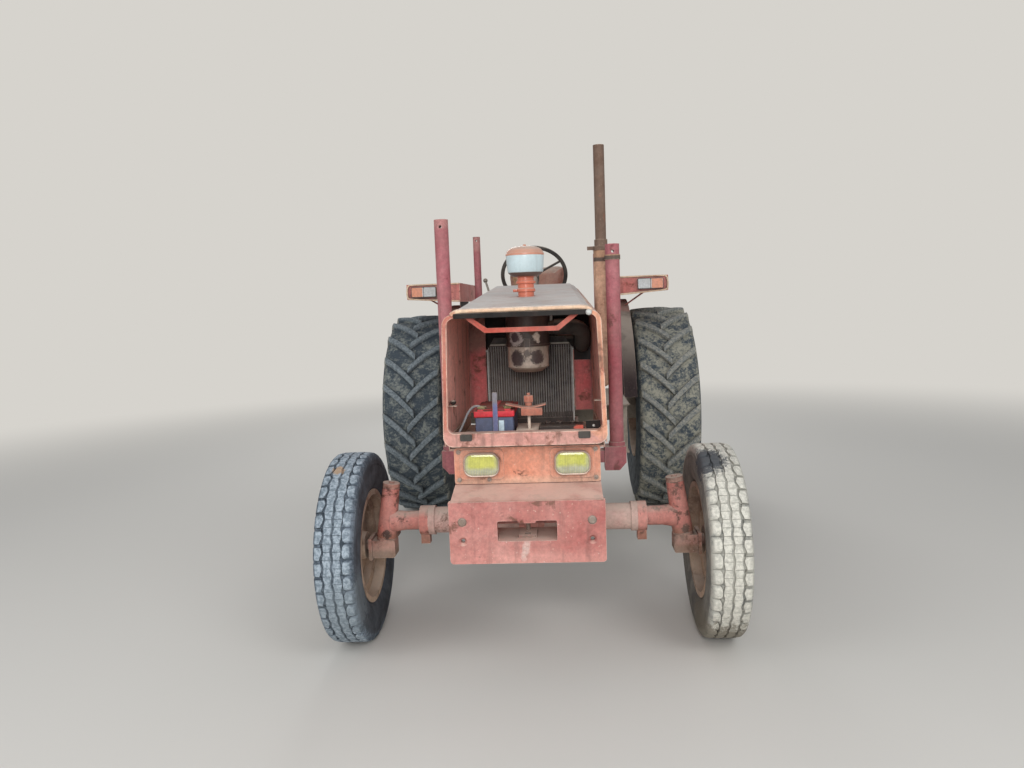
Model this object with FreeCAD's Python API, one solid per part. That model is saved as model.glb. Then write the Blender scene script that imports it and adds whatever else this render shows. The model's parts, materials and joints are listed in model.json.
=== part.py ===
import FreeCAD, Part
import math
import os

Vector = FreeCAD.Vector

# Two-wheel-drive farm tractor, millimetres. +Z up, the front faces -Y and +X is the driver's left.
# The origin is on the ground under the middle of the overall box.

# Overall
WHEELBASE = 2550.0
FRONT_OVERHANG = 560.0
REAR_OVERHANG = 950.0
LENGTH = FRONT_OVERHANG + WHEELBASE + REAR_OVERHANG
FRONT_AXLE_Y = FRONT_OVERHANG - LENGTH / 2
REAR_AXLE_Y = FRONT_AXLE_Y + WHEELBASE

# Fits: pieces that rest on each other, round fits, sheet edges side by side
SEAT_GAP = 0.3
PIN_GAP = 0.3
PART_GAP = 2.0

# Wheels: radius out to the tread, section width, flange radius, rim width and half track
FRONT_TYRE_R = 466.0
FRONT_TYRE_W = 196.0
FRONT_TREAD_W = 166.0
FRONT_FLANGE_R = 280.0
FRONT_RIM_W = 164.0
FRONT_HALF_TRACK = 883.0
REAR_TYRE_R = 787.0
REAR_TYRE_W = 464.0
REAR_TREAD_W = 400.0
REAR_FLANGE_R = 405.0
REAR_RIM_W = 424.0
REAR_HALF_TRACK = 935.0
REAR_TYRE_FACETS = 44
FRONT_TYRE_FACETS = 30
RIM_SHEET = 6.0
BEAD_DROP = 20.0
FLANGE_SHEET = 8.0
FRONT_WELL_DROP = 38.0
REAR_WELL_DROP = 55.0
FRONT_HUB_END = 56.0
HUB_CAP_R = 62.0
HUB_SHAFT_R = 48.0
SPINDLE_R = 28.0

# Lugs of a rear tyre: how many on each side, height, width, how far round each one runs,
# and the drop at its outer end
LUG_COUNT = 22
LUG_HEIGHT = 38.0
LUG_WIDTH = 52.0
LUG_RUN = 220.0
LUG_PAST_CENTRE = 26.0
LUG_REACH = 6.0
LUG_DROP = 12.0
LUG_SLOPE = 8.0
LUG_ROOT = 22.0

# Front axle and steering
AXLE_TUBE_RISE = 122.0
AXLE_TUBE_Z = FRONT_TYRE_R + AXLE_TUBE_RISE
AXLE_TUBE_R = 64.0
AXLE_TUBE_WALL = 17.0
AXLE_TUBE_END = 512.0
AXLE_COLLAR_W = 45.0
AXLE_PIN_R = 30.0
AXLE_BLOCK = 66.0
AXLE_BLOCK_Y = 80.0
AXLE_EAR_Y = 82.0
AXLE_EAR_THICK = 26.0
AXLE_EAR_HALF = 62.0
AXLE_PIN_REACH = 116.0
AXLE_RING = 30.0
COLLAR_TAB = 114.0
KINGPIN_X = 740.0
KINGPIN_TILT = 7.8
KINGPIN_R = 24.0
HOUSING_R = 42.0
HOUSING_FOOT_R = 50.0
HOUSING_LOW = FRONT_TYRE_R + 42.0
HOUSING_TOP = AXLE_TUBE_Z + 170.0
STEERING_ARM = 200.0
TIE_ROD_Z = FRONT_TYRE_R + 64.0
TIE_ROD_R = 14.0
TIE_ROD_LEAN = -0.037
BALL_R = 13.0
BALL_ROOM = 8.0
SOCKET_R = 28.0
SOCKET_UP = 24.0
SOCKET_DOWN = 18.0

# Front plate, with its slot, four bolt holes and the tow jaw behind it
PLATE_HALF = 333.0
PLATE_LOW = 546.0
PLATE_TOP = 815.0
PLATE_THICK = 32.0
CHEEK_THICK = 22.0
SLOT_HALF = 127.0
SLOT_LOW = 643.0
SLOT_TOP = 730.0
BOLT_X = 276.0
BOLT_LOW_Z = 645.0
BOLT_HIGH_Z = 729.0
BOLT_R = 9.0
BOLT_SINK_R = 20.0
SLOT_TAB = 41.0
SLOT_TAB_DROP = 10.0
JAW_HALF = 38.0
JAW_THICK = 18.0
JAW_HOLE_R = 15.0
TOW_PIN_R = 9.0
PANEL_Y = FRONT_AXLE_Y - 360.0
SHELF_RISE = 30.0

# Cast front support between the plate and the engine
SUPPORT_HALF = 250.0
SUPPORT_LOW = AXLE_TUBE_Z + AXLE_BLOCK + 6.0
SUPPORT_TOP = 1000.0
SUPPORT_WALL = 22.0
AXLE_SADDLE = 120.0
RIB_REACH = 26.0
SUPPORT_RIBS = [FRONT_AXLE_Y + place for place in (-200.0, -60.0, 80.0, 220.0, 340.0)]
FLANGE_HALF = 326.0
FLANGE_THICK = 22.0
LAMP_PANEL_LOW = 848.0
LAMP_PANEL_TOP = SUPPORT_TOP + 12.0
LAMP_PANEL_THICK = 8.0
LAMP_X = 202.0
LAMP_HALF = 80.0
LAMP_LOW = 885.0
LAMP_HEIGHT = 107.0
LAMP_DEPTH = 24.0
LAMP_FRAME = 18.0
LAMP_FRAME_THICK = 6.0
LAMP_RIM = 8.0

# Engine and what is fixed to it
ENGINE_Y = FRONT_AXLE_Y + 600.0
ENGINE_LENGTH = 690.0
ENGINE_END_Y = ENGINE_Y + ENGINE_LENGTH
ENGINE_HALF = 165.0
SUMP_LOW = 520.0
BLOCK_LOW = 680.0
HEAD_LOW = 1120.0
HEAD_HEIGHT = 120.0
HEAD_HALF = 140.0
COVER_HEIGHT = 90.0
COVER_HALF = 95.0
COVER_LID = 14.0
OIL_CAP_R = 30.0
OIL_FILTER_R = 42.0
OIL_FILTER_OUT = 52.0
OIL_FILTER_HEIGHT = 130.0
CYLINDERS = 4
MANIFOLD_X = 195.0
MANIFOLD_Z = HEAD_LOW + 70.0
MANIFOLD_R = 30.0
CRANK_Z = 790.0
CRANK_PULLEY_R = 70.0
FAN_Z = 1215.0
FAN_R = 200.0
FAN_BLADES = 6
FAN_PULLEY_R = 62.0
FAN_Y = FRONT_AXLE_Y + 515.0
BELT_Y = FRONT_AXLE_Y + 545.0
BELT_WIDTH = 16.0
BELT_THICK = 9.0
PULLEY_REACH = 5.0
BELT_ROOM = 12.0
PAD = 12.0
BLOCK_RIB = 8.0
FAN_HUB_R = 40.0
BLADE_HALF = 34.0
BLADE_PITCH = 24.0
ALTERNATOR_X = -230.0
ALTERNATOR_Z = 1075.0
ALTERNATOR_R = 60.0
ALTERNATOR_LENGTH = 150.0
ALTERNATOR_PULLEY_R = 36.0
PUMP_Z = 900.0
PUMP_Y = ENGINE_Y + 200.0
PUMP_LENGTH = 200.0
PUMP_WIDTH = 92.0
PUMP_DRIVE_R = 40.0
PUMP_PORT_R = 9.0
FUEL_FILTER_Y = ENGINE_Y + 470.0
FUEL_FILTER_R = 38.0
FUEL_FILTER_PITCH = 88.0
FUEL_FILTER_HEIGHT = 128.0
STARTER_OUT = 62.0
STARTER_R = 46.0
STARTER_LENGTH = 230.0
SOLENOID_R = 25.0
INTAKE_LOG = 34.0
INTAKE_Y = ENGINE_Y + 90.0
INTAKE_TOP = MANIFOLD_Z + 72.0
TIMING_DEPTH = 30.0
TIMING_LOW_HALF = 130.0
TIMING_TOP_HALF = 100.0
CRANK_SHAFT_R = 20.0

# Nose, bonnet and what stands in the nose
NOSE_Y = FRONT_AXLE_Y - 450.0
NOSE_END_Y = FRONT_AXLE_Y + 400.0
BONNET_END_Y = ENGINE_END_Y + 10.0
BONNET_FRONT_Z = 1633.0
BONNET_REAR_Z = 1760.0
BONNET_FRONT_HALF = 262.0
BONNET_REAR_HALF = 233.0
BONNET_EDGE = 35.0
BONNET_DROP = 19.0
BONNET_SKIRT = 26.0
SHEET = 4.0
NOSE_TOP_HALF = 340.0
NOSE_LOW_HALF = 358.0
NOSE_LOW = SUPPORT_TOP + 33.0
LIP_HEIGHT = 59.0
LIP_DEPTH = 50.0
NOSE_LIP = NOSE_LOW + LIP_HEIGHT
TRAY_THICK = 8.0
TRAY_RIM = 30.0
NOSE_CORNER = 45.0
NOSE_RIM = 30.0
TOP_WINDOW = 235.0
SIDE_REAR_HALF = 300.0
SIDE_LOW = 1400.0
BRACE_DROP = 78.0
BRACE_BAR = 20.0
BRACE_TOP_HALF = 262.0
BRACE_LOW_HALF = 160.0
BRACE_THICK = 16.0
BUFFER_X = 256.0
BUFFER_HALF = 26.0
TRAY_LIP_HALF = 300.0
RADIATOR_Y = FRONT_AXLE_Y + 380.0
RADIATOR_THICK = 90.0
RADIATOR_END_Y = RADIATOR_Y + RADIATOR_THICK
RADIATOR_HALF = 230.0
RADIATOR_SIDE = 15.0
CORE_LOW = 1030.0
CORE_TOP = 1397.0
TANK_TOP = 1465.0
TANK_SLOPE = 42.0
FILLER_X = 120.0
FILLER_R = 30.0
FIN_COUNT = 28
FIN_THICK = 5.0
CLEANER_Y = FRONT_AXLE_Y + 200.0
CLEANER_R = 110.0
CLEANER_JOINT = 1430.0
CLEANER_LOW = 1300.0
CLEANER_TOP = 1640.0
NECK_R = 42.0
NECK_ROOM = 6.0
HOSE_R = 41.0
OUTLET_Z = 1520.0
OUTLET_LENGTH = 25.0
PIPE_X = 280.0
PIPE_BEND = 75.0
BOWL_LOW = 1806.0
BOWL_TOP = 1880.0
BOWL_R = 97.0
DOME_TOP = 1940.0
BATTERY_Y = FRONT_AXLE_Y - 300.0
BATTERY_INNER_X = -55.0
BATTERY_WIDTH = 178.0
BATTERY_LENGTH = 330.0
BATTERY_HEIGHT = 116.0
BATTERY_LID = 18.0
TERMINAL_IN = 30.0
TERMINAL_R = 9.0
TERMINAL_HEIGHT = 16.0
LEAD_R = 5.0
LEAD_BEND = 24.0
LEAD_OUT = 34.0
LEAD_RISE = 50.0
STRAP_IN = 62.0
STRAP_HALF = 26.0
STRAP_WIDTH = 18.0
STRAP_RISE = 46.0
STRAP_CORNER = 20.0
CLAMP_Z = 1160.0
STUD_R = 7.0
NUT_R = 15.0
BOX_X = (64.0, 259.0)
BOX_DEPTH = 120.0
BOX_HEIGHT = 78.0
PLUG_R = 13.0
PLUG_X = (96.0, 150.0, 210.0)

# Exhaust and the four upright posts
MUFFLER_X = 405.0
MUFFLER_Y = FRONT_AXLE_Y + 620.0
MUFFLER_R = 43.0
MUFFLER_LOW = 1418.0
MUFFLER_TOP = 1938.0
DOWN_PIPE_R = 28.0
STACK_R = 30.0
STACK_WALL = 5.0
STACK_TOP = 2487.0
BAND_DROP = 80.0
BAND_HEIGHT = 26.0
POST_X = 455.0
POST_Y = FRONT_AXLE_Y + 458.0
POST_R = 38.0
POST_WALL = 5.0
FOOT_RING = 22.0
BRACKET_LOW = 727.0
BRACKET_HEIGHT = 129.0
POST_LOW = BRACKET_LOW + BRACKET_HEIGHT
POST_TOP_LEFT = 1941.0
POST_TOP_RIGHT = 2107.0
POST_HOLE_R = 8.0
POST_HOLE_DROP = 40.0
REAR_POST_X = 465.0
REAR_POST_Y = REAR_AXLE_Y - 150.0
REAR_POST_R = 28.0
REAR_POST_TOP_LEFT = 2001.0
REAR_POST_TOP_RIGHT = 2170.0
POST_PLATE_THICK = 14.0

# Gearbox and rear axle
AXLE_Z = REAR_TYRE_R
GEARBOX_HALF = 200.0
GEARBOX_LOW = AXLE_Z - 267.0
GEARBOX_TOP = AXLE_Z + 143.0
BELL_LENGTH = 230.0
BELL_HALF = 225.0
BELL_TOP = 950.0
BELL_LOW = 560.0
CENTRE_HALF = 235.0
CENTRE_Y = REAR_AXLE_Y - 280.0
CENTRE_END_Y = REAR_AXLE_Y + 300.0
CENTRE_LOW = AXLE_Z - 247.0
CENTRE_TOP = AXLE_Z + 173.0
TRUMPET_R = 130.0
TRUMPET_END_R = 95.0
TRUMPET_END = 800.0
HUB_R = 70.0
PTO_Z = AXLE_Z - 147.0
PTO_R = 17.5
PTO_LENGTH = 90.0
PTO_GUARD_HALF = 90.0
TRUMPET_ROOT = 34.0

# Driver's place
PLATFORM_Z = GEARBOX_TOP + 30.0
PLATFORM_THICK = 8.0
FLOOR_Z = PLATFORM_Z + PLATFORM_THICK + SEAT_GAP
STEP_DEPTH = 160.0
STEP_WIDTH = 300.0
STEP_DROP = 330.0
FENDER_X = 600.0
FENDER_ROOM = 73.0
FENDER_R = REAR_TYRE_R + FENDER_ROOM
FENDER_LIP = 90.0
CAP_HALF_IN = 560.0
CAP_HALF_OUT = 955.0
CAP_LOW = 2 * REAR_TYRE_R + 98.0
CAP_HEIGHT = 138.0
CAP_TOP = CAP_LOW + CAP_HEIGHT
CAP_Y = REAR_AXLE_Y - 565.0
CAP_END_Y = REAR_AXLE_Y + 480.0
CAP_SLANT = 28.0
ROLL_R = 5.5
STAY_R = 6.0
STAY_IN = 215.0
STAY_REACH = 270.0
FENDER_LAMP_X = 824.0
FENDER_LAMP_HALF = 92.0
FENDER_LAMP_HEIGHT = 77.0
FENDER_LAMP_DEPTH = 40.0
COWL_Y = BONNET_END_Y + SEAT_GAP
COWL_END_Y = BONNET_END_Y + 150.0
COWL_HALF = 270.0
COWL_TOP = BONNET_REAR_Z - 20.0
DASH_LOW = BONNET_REAR_Z - 160.0
DASH_SLOPE = 60.0
DIAL_X = 130.0
DIAL_R = 46.0
WHEEL_CENTRE_Y = BONNET_END_Y + 320.0
WHEEL_CENTRE_Z = BONNET_REAR_Z + 70.0
STEERING_WHEEL_R = 228.0
STEERING_RIM_R = 13.0
STEERING_SHAFT_R = 11.0
COLUMN_ANGLE = 33.5
COLUMN_R = 30.0
SEAT_HALF = 230.0
SEAT_Y = REAR_AXLE_Y - 520.0
SEAT_LENGTH = 400.0
SEAT_END_Y = SEAT_Y + SEAT_LENGTH
SEAT_LOW = PLATFORM_Z + 460.0
SEAT_THICK = 100.0
BACK_HEIGHT = 496.0
SEAT_BASE_Y = REAR_AXLE_Y - 420.0
LEVER_X = 60.0
LEVER_R = 8.0
KNOB_R = 20.0
LEVER_HEIGHT = 382.0
PEDAL_X = (-260.0, -170.0, 220.0)
PEDAL_HALF = 35.0
PEDAL_HEIGHT = 160.0

# Three-point hitch and drawbar
LINK_PIVOT_Y = REAR_AXLE_Y + 60.0
LINK_PIVOT_Z = AXLE_Z - 307.0
LINK_PIN_R = 14.0
LINK_X = 250.0
LINK_END_X = 400.0
LINK_BALL_R = 36.0
LINK_BORE_R = 14.2
LINK_DEG = -4.0
LINK_LENGTH = (REAR_OVERHANG - 60.0 - LINK_BALL_R) / math.cos(math.radians(LINK_DEG))
LINK_THICK = 18.0
LINK_HEIGHT = 60.0
LIFT_SHAFT_Y = REAR_AXLE_Y + 140.0
LIFT_SHAFT_Z = CENTRE_TOP + 50.0
LIFT_SHAFT_R = 30.0
LIFT_COVER_HALF = 170.0
LIFT_COVER_TOP = CENTRE_TOP + 120.0
LIFT_X = 240.0
LIFT_ARM = 300.0
LIFT_ARM_DEG = -5.0
LIFT_ARM_THICK = 26.0
LIFT_PIN_R = 11.0
LIFT_ROD_AT = 400.0
FORK_GAP = 5.0
SLIP_GAP = 14.0
FORK_CHEEK = 8.0
JAW_Y = REAR_AXLE_Y + 340.0
JAW_Z = CENTRE_TOP + 80.0
JAW_OPEN = 52.0
JAW_CHEEK = 19.0
TOP_PIN_R = 12.8
DRAWBAR_THICK = 30.0
DRAWBAR_TOP = CENTRE_LOW - 110.0
DRAWBAR_HALF = 40.0
DRAWBAR_HOLE_R = 16.0
DRAWBAR_HOLE_Y = REAR_AXLE_Y + 520.0


def box(x, y, z):
    return Part.makeBox(x[1] - x[0], y[1] - y[0], z[1] - z[0], Vector(x[0], y[0], z[0]))


def rod(start, end, radius):
    a = Vector(*start)
    b = Vector(*end)
    return Part.makeCylinder(radius, (b - a).Length, a, b - a)


def cone(start, end, first_r, last_r):
    a = Vector(*start)
    b = Vector(*end)
    return Part.makeCone(first_r, last_r, (b - a).Length, a, b - a)


def tube(start, end, radius, bore):
    return rod(start, end, radius).cut(rod(start, end, bore))


def fused(shapes):
    return shapes[0].fuse(shapes[1:]).removeSplitter()


def placed(axis, level, outline):
    # Points of an outline in the plane across the axis: (y, z), (x, z) or (x, y)
    if axis == "X":
        return [Vector(level, u, v) for u, v in outline]
    if axis == "Y":
        return [Vector(u, level, v) for u, v in outline]
    return [Vector(u, v, level) for u, v in outline]


def along(axis, length):
    return {"X": Vector(length, 0, 0), "Y": Vector(0, length, 0), "Z": Vector(0, 0, length)}[axis]


def prism(axis, outline, low, high):
    corners = placed(axis, low, outline)
    face = Part.Face(Part.makePolygon(corners + corners[:1]))
    return face.extrude(along(axis, high - low))


def rounded_wire(corners, radius):
    # A closed outline whose corners are arcs of one radius
    edges = []
    starts = []
    ends = []
    middles = []
    count = len(corners)
    for i in range(count):
        here = corners[i]
        back = (corners[i - 1] - here).normalize()
        ahead = (corners[(i + 1) % count] - here).normalize()
        half = back.getAngle(ahead) / 2
        reach = radius / math.tan(half)
        bisector = (back + ahead).normalize()
        starts.append(here + back * reach)
        ends.append(here + ahead * reach)
        middles.append(here + bisector * (radius / math.sin(half) - radius))
    for i in range(count):
        edges.append(Part.Arc(starts[i], middles[i], ends[i]).toShape())
        edges.append(Part.makeLine(ends[i], starts[(i + 1) % count]))
    return Part.Wire(edges)


def rounded_prism(axis, outline, radius, low, high):
    face = Part.Face(rounded_wire(placed(axis, low, outline), radius))
    return face.extrude(along(axis, high - low))


def oblong(u, v):
    # Corner points of a rectangle given by two ranges
    return [(u[0], v[0]), (u[1], v[0]), (u[1], v[1]), (u[0], v[1])]


def turned(profile, start, direction):
    # A solid of revolution from (distance along the axis, radius) pairs
    corners = [Vector(radius, 0, distance) for distance, radius in profile]
    face = Part.Face(Part.makePolygon(corners + corners[:1]))
    solid = face.revolve(Vector(0, 0, 0), Vector(0, 0, 1), 360)
    turn = FreeCAD.Rotation(Vector(0, 0, 1), Vector(*direction))
    solid.Placement = FreeCAD.Placement(Vector(*start), turn)
    return solid


def bent_tube(points, radius, bend):
    # A round hose or bar: straight runs joined by arcs of one radius
    corners = [Vector(*p) for p in points]
    edges = []
    last = corners[0]
    for i in range(1, len(corners) - 1):
        here = corners[i]
        back = (corners[i - 1] - here).normalize()
        ahead = (corners[i + 1] - here).normalize()
        half = back.getAngle(ahead) / 2
        reach = bend / math.tan(half)
        start = here + back * reach
        end = here + ahead * reach
        middle = here + (back + ahead).normalize() * (bend / math.sin(half) - bend)
        edges.append(Part.makeLine(last, start))
        edges.append(Part.Arc(start, middle, end).toShape())
        last = end
    edges.append(Part.makeLine(last, corners[-1]))
    first = (corners[1] - corners[0]).normalize()
    section = Part.Wire(Part.makeCircle(radius, corners[0], first))
    return Part.Wire(edges).makePipeShell([section], True, False)


def mirrored(shape):
    return shape.mirror(Vector(0, 0, 0), Vector(1, 0, 0))


def both(shape):
    return Part.makeCompound([shape, mirrored(shape)])


def on_kingpin(z):
    # X of the left kingpin's axis at a height
    return KINGPIN_X - (z - FRONT_TYRE_R) * math.tan(math.radians(KINGPIN_TILT))


def kingpin_point(z):
    return Vector(on_kingpin(z), FRONT_AXLE_Y, z)


def bonnet_share(y):
    return (y - NOSE_Y) / (BONNET_END_Y - NOSE_Y)


def bonnet_z(y):
    return BONNET_FRONT_Z + bonnet_share(y) * (BONNET_REAR_Z - BONNET_FRONT_Z)


def side_half(y):
    return NOSE_TOP_HALF + bonnet_share(y) * (SIDE_REAR_HALF - NOSE_TOP_HALF)


def front_plate():
    face_y = FRONT_AXLE_Y - FRONT_OVERHANG
    rear_y = face_y + PLATE_THICK
    plate = box((-PLATE_HALF, PLATE_HALF), (face_y, rear_y), (PLATE_LOW, PLATE_TOP))
    low_corners = [
        edge for edge in plate.Edges
        if abs(edge.CenterOfMass.z - PLATE_LOW) < 1 and abs(abs(edge.CenterOfMass.x) - PLATE_HALF) < 1
    ]
    plate = plate.makeFillet(16.0, low_corners)
    panel_rear = PANEL_Y + LAMP_PANEL_THICK
    shelf_z = PLATE_TOP + SHELF_RISE
    cheek_side = [(rear_y, PLATE_LOW + 40), (panel_rear, SUPPORT_LOW), (panel_rear, shelf_z),
                  (rear_y, PLATE_TOP)]
    cheek = prism("X", cheek_side, FLANGE_HALF - CHEEK_THICK, FLANGE_HALF)
    shelf_side = [(rear_y, PLATE_TOP - CHEEK_THICK), (PANEL_Y, shelf_z - CHEEK_THICK), (PANEL_Y, shelf_z),
                  (rear_y, PLATE_TOP)]
    shelf = prism("X", shelf_side, -FLANGE_HALF, FLANGE_HALF)
    # Tow jaw behind the slot: a floor, a tongue with an eye, and the pin that stands through it
    floor = box((-SLOT_HALF - 20, SLOT_HALF + 20), (rear_y - 2, panel_rear),
                (SLOT_LOW - JAW_THICK, SLOT_LOW))
    tongue = box((-JAW_HALF, JAW_HALF), (rear_y + 14, rear_y + 118), (SLOT_LOW - 1, SLOT_LOW + 12))
    eye = rod((0, rear_y + 42, SLOT_LOW), (0, rear_y + 42, SLOT_LOW + 20), JAW_HOLE_R)
    pin = rod((0, rear_y + 92, SLOT_LOW), (0, rear_y + 92, SLOT_TOP - 14), TOW_PIN_R)
    solid = fused([plate, cheek, mirrored(cheek), shelf, floor, tongue.cut(eye), pin])
    tab_low = SLOT_TOP - SLOT_TAB_DROP
    tab = [(-SLOT_TAB, SLOT_TOP), (-SLOT_TAB + 8, tab_low), (SLOT_TAB - 8, tab_low), (SLOT_TAB, SLOT_TOP)]
    slot_face = oblong((-SLOT_HALF, SLOT_HALF), (SLOT_LOW, SLOT_TOP))
    slot = rounded_prism("Y", slot_face, 8.0, face_y - 1, rear_y)
    solid = solid.cut(slot.cut(prism("Y", tab, face_y - 2, rear_y + 1)))
    for x in (-BOLT_X, BOLT_X):
        for z in (BOLT_LOW_Z, BOLT_HIGH_Z):
            hole = rod((x, face_y - 1, z), (x, rear_y + 1, z), BOLT_R)
            sink = cone((x, face_y, z), (x, face_y + BOLT_SINK_R - BOLT_R, z), BOLT_SINK_R, BOLT_R)
            solid = solid.cut([hole, sink])
    return solid


def front_support():
    front = PANEL_Y + LAMP_PANEL_THICK
    pocket_half = SUPPORT_HALF - SUPPORT_WALL
    ear_y = (FRONT_AXLE_Y + AXLE_EAR_Y, FRONT_AXLE_Y + AXLE_EAR_Y + AXLE_EAR_THICK)
    body = box((-SUPPORT_HALF, SUPPORT_HALF), (front, ENGINE_Y), (SUPPORT_LOW, SUPPORT_TOP))
    pockets = [
        box((-pocket_half, pocket_half), span, (SUPPORT_LOW - 1, SUPPORT_TOP - SUPPORT_WALL))
        for span in ((front + FLANGE_THICK, FRONT_AXLE_Y - AXLE_SADDLE),
                     (FRONT_AXLE_Y + AXLE_SADDLE, ENGINE_Y - SUPPORT_WALL))
    ]
    belt_window = box((-pocket_half - BELT_ROOM, pocket_half + BELT_ROOM),
                      (BELT_Y - 40, ENGINE_Y - SUPPORT_WALL),
                      (SUPPORT_TOP - 40, SUPPORT_TOP + 1))
    shaft_hole = rod((0, ENGINE_Y - SUPPORT_WALL - 1, CRANK_Z), (0, ENGINE_Y + 1, CRANK_Z),
                     CRANK_SHAFT_R + 6)
    flange = box((-FLANGE_HALF, FLANGE_HALF), (front, front + FLANGE_THICK), (SUPPORT_LOW, SUPPORT_TOP))
    ribs = []
    for y in SUPPORT_RIBS:
        rib = [(SUPPORT_HALF - 1, SUPPORT_LOW), (SUPPORT_HALF + RIB_REACH, SUPPORT_LOW + 70),
               (SUPPORT_HALF + RIB_REACH, SUPPORT_TOP - 60), (SUPPORT_HALF - 1, SUPPORT_TOP)]
        solid = prism("Y", rib, y - 9, y + 9)
        ribs += [solid, mirrored(solid)]
    ear = box((-AXLE_EAR_HALF, AXLE_EAR_HALF), ear_y, (AXLE_TUBE_Z, SUPPORT_LOW))
    ear = ear.fuse(rod((0, ear_y[0], AXLE_TUBE_Z), (0, ear_y[1], AXLE_TUBE_Z), AXLE_EAR_HALF))
    front_ear = ear.mirror(Vector(0, FRONT_AXLE_Y, 0), Vector(0, 1, 0))
    pin = rod((0, FRONT_AXLE_Y - AXLE_PIN_REACH, AXLE_TUBE_Z),
              (0, FRONT_AXLE_Y + AXLE_PIN_REACH, AXLE_TUBE_Z), AXLE_PIN_R)
    return fused([body.cut(pockets + [belt_window, shaft_hole]), flange, ear, front_ear, pin] + ribs)


def lamp_panel():
    face = oblong((-FLANGE_HALF, FLANGE_HALF), (LAMP_PANEL_LOW, LAMP_PANEL_TOP))
    panel = rounded_prism("Y", face, 14.0, PANEL_Y, PANEL_Y + LAMP_PANEL_THICK - SEAT_GAP)
    for x in (-LAMP_X, LAMP_X):
        frame = oblong((x - LAMP_HALF - LAMP_FRAME, x + LAMP_HALF + LAMP_FRAME),
                       (LAMP_LOW - 16, LAMP_LOW + LAMP_HEIGHT + 12))
        panel = panel.fuse(rounded_prism("Y", frame, 22.0, PANEL_Y - LAMP_FRAME_THICK, PANEL_Y))
    return panel.removeSplitter()


def head_lamps():
    lamps = []
    rear = PANEL_Y - LAMP_FRAME_THICK - SEAT_GAP
    for x in (-LAMP_X, LAMP_X):
        rim = oblong((x - LAMP_HALF, x + LAMP_HALF), (LAMP_LOW, LAMP_LOW + LAMP_HEIGHT))
        glass = oblong((x - LAMP_HALF + LAMP_RIM, x + LAMP_HALF - LAMP_RIM),
                       (LAMP_LOW + LAMP_RIM, LAMP_LOW + LAMP_HEIGHT - LAMP_RIM))
        lamps.append(fused([
            rounded_prism("Y", rim, 40.0, rear - LAMP_DEPTH + LAMP_RIM, rear),
            rounded_prism("Y", glass, 32.0, rear - LAMP_DEPTH, rear - LAMP_RIM),
        ]))
    return Part.makeCompound(lamps)


def shell_wire(y, low, inset):
    top = bonnet_z(y) - BONNET_SKIRT - inset
    half = side_half(y) - inset
    low_half = half + (NOSE_LOW_HALF - NOSE_TOP_HALF)
    outline = [(-low_half, low), (low_half, low), (half, top), (-half, top)]
    return rounded_wire(placed("Y", y, outline), NOSE_CORNER - inset)


def shell(front, rear, low):
    outer = Part.makeLoft([shell_wire(front, low, 0), shell_wire(rear, low, 0)], True, True)
    inner_low = low + SHEET
    inner_ends = [shell_wire(front, inner_low, SHEET), shell_wire(rear, inner_low, SHEET)]
    return outer, Part.makeLoft(inner_ends, True, True)


def nose():
    clear = 2 * NOSE_LOW_HALF
    sky = BONNET_REAR_Z + 100
    top = bonnet_z(NOSE_Y) - BONNET_SKIRT
    outer, inner = shell(NOSE_Y, NOSE_END_Y, NOSE_LOW - 100)
    top_window = box((-TOP_WINDOW, TOP_WINDOW), (NOSE_Y + NOSE_RIM, NOSE_END_Y + 1), (top - 100, sky))
    below = box((-clear, clear), (NOSE_Y - 1, NOSE_END_Y + 1), (NOSE_LOW - 200, NOSE_LOW))
    ahead = box((-clear, clear), (NOSE_Y - 1, NOSE_Y + NOSE_RIM - 1), (NOSE_LOW - 200, sky))
    walls = outer.cut([inner, top_window, below, ahead])
    mask = shell(NOSE_Y, NOSE_END_Y, NOSE_LOW)[0]
    lip = mask.common(box((-clear, clear), (NOSE_Y, NOSE_Y + LIP_DEPTH), (NOSE_LOW, NOSE_LIP)))
    frame = mask.common(box((-clear, clear), (NOSE_Y, NOSE_Y + NOSE_RIM), (NOSE_LOW, sky)))
    mouth = rounded_prism(
        "Y",
        [(-NOSE_LOW_HALF + 22, NOSE_LIP), (NOSE_LOW_HALF - 22, NOSE_LIP), (NOSE_TOP_HALF - 20, top - 16),
         (-NOSE_TOP_HALF + 20, top - 16)],
        30.0, NOSE_Y - 1, NOSE_Y + NOSE_RIM + 1,
    )
    return fused([walls, lip, frame.cut(mouth)])


def side_panels():
    clear = 2 * NOSE_LOW_HALF
    ends = (NOSE_END_Y - 1, BONNET_END_Y + 1)
    outer, inner = shell(NOSE_END_Y + PART_GAP, BONNET_END_Y, SIDE_LOW - 100)
    window = box((-TOP_WINDOW, TOP_WINDOW), ends, (SIDE_LOW - 100, BONNET_REAR_Z + 100))
    below = box((-clear, clear), ends, (SIDE_LOW - 200, SIDE_LOW))
    return outer.cut([inner, window, below])


def bonnet_wire(y, half, inset):
    z = bonnet_z(y)
    foot = z - BONNET_SKIRT + SEAT_GAP - (5 if inset else 0)
    edge = half + BONNET_EDGE - inset
    outline = [(-edge, foot), (-edge, z - BONNET_DROP - inset), (-half + inset / 2, z - inset),
               (half - inset / 2, z - inset), (edge, z - BONNET_DROP - inset), (edge, foot)]
    corners = placed("Y", y, outline)
    return Part.makePolygon(corners + corners[:1])


def bonnet():
    ends = ((NOSE_Y, BONNET_FRONT_HALF), (BONNET_END_Y, BONNET_REAR_HALF))
    outer = Part.makeLoft([bonnet_wire(y, half, 0) for y, half in ends], True, True)
    inner = Part.makeLoft([bonnet_wire(y, half, SHEET) for y, half in ends], True, True)
    neck_hole = rod((0, CLEANER_Y, CLEANER_JOINT), (0, CLEANER_Y, BONNET_REAR_Z), NECK_R + NECK_ROOM)
    return outer.cut([inner, neck_hole])


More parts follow.
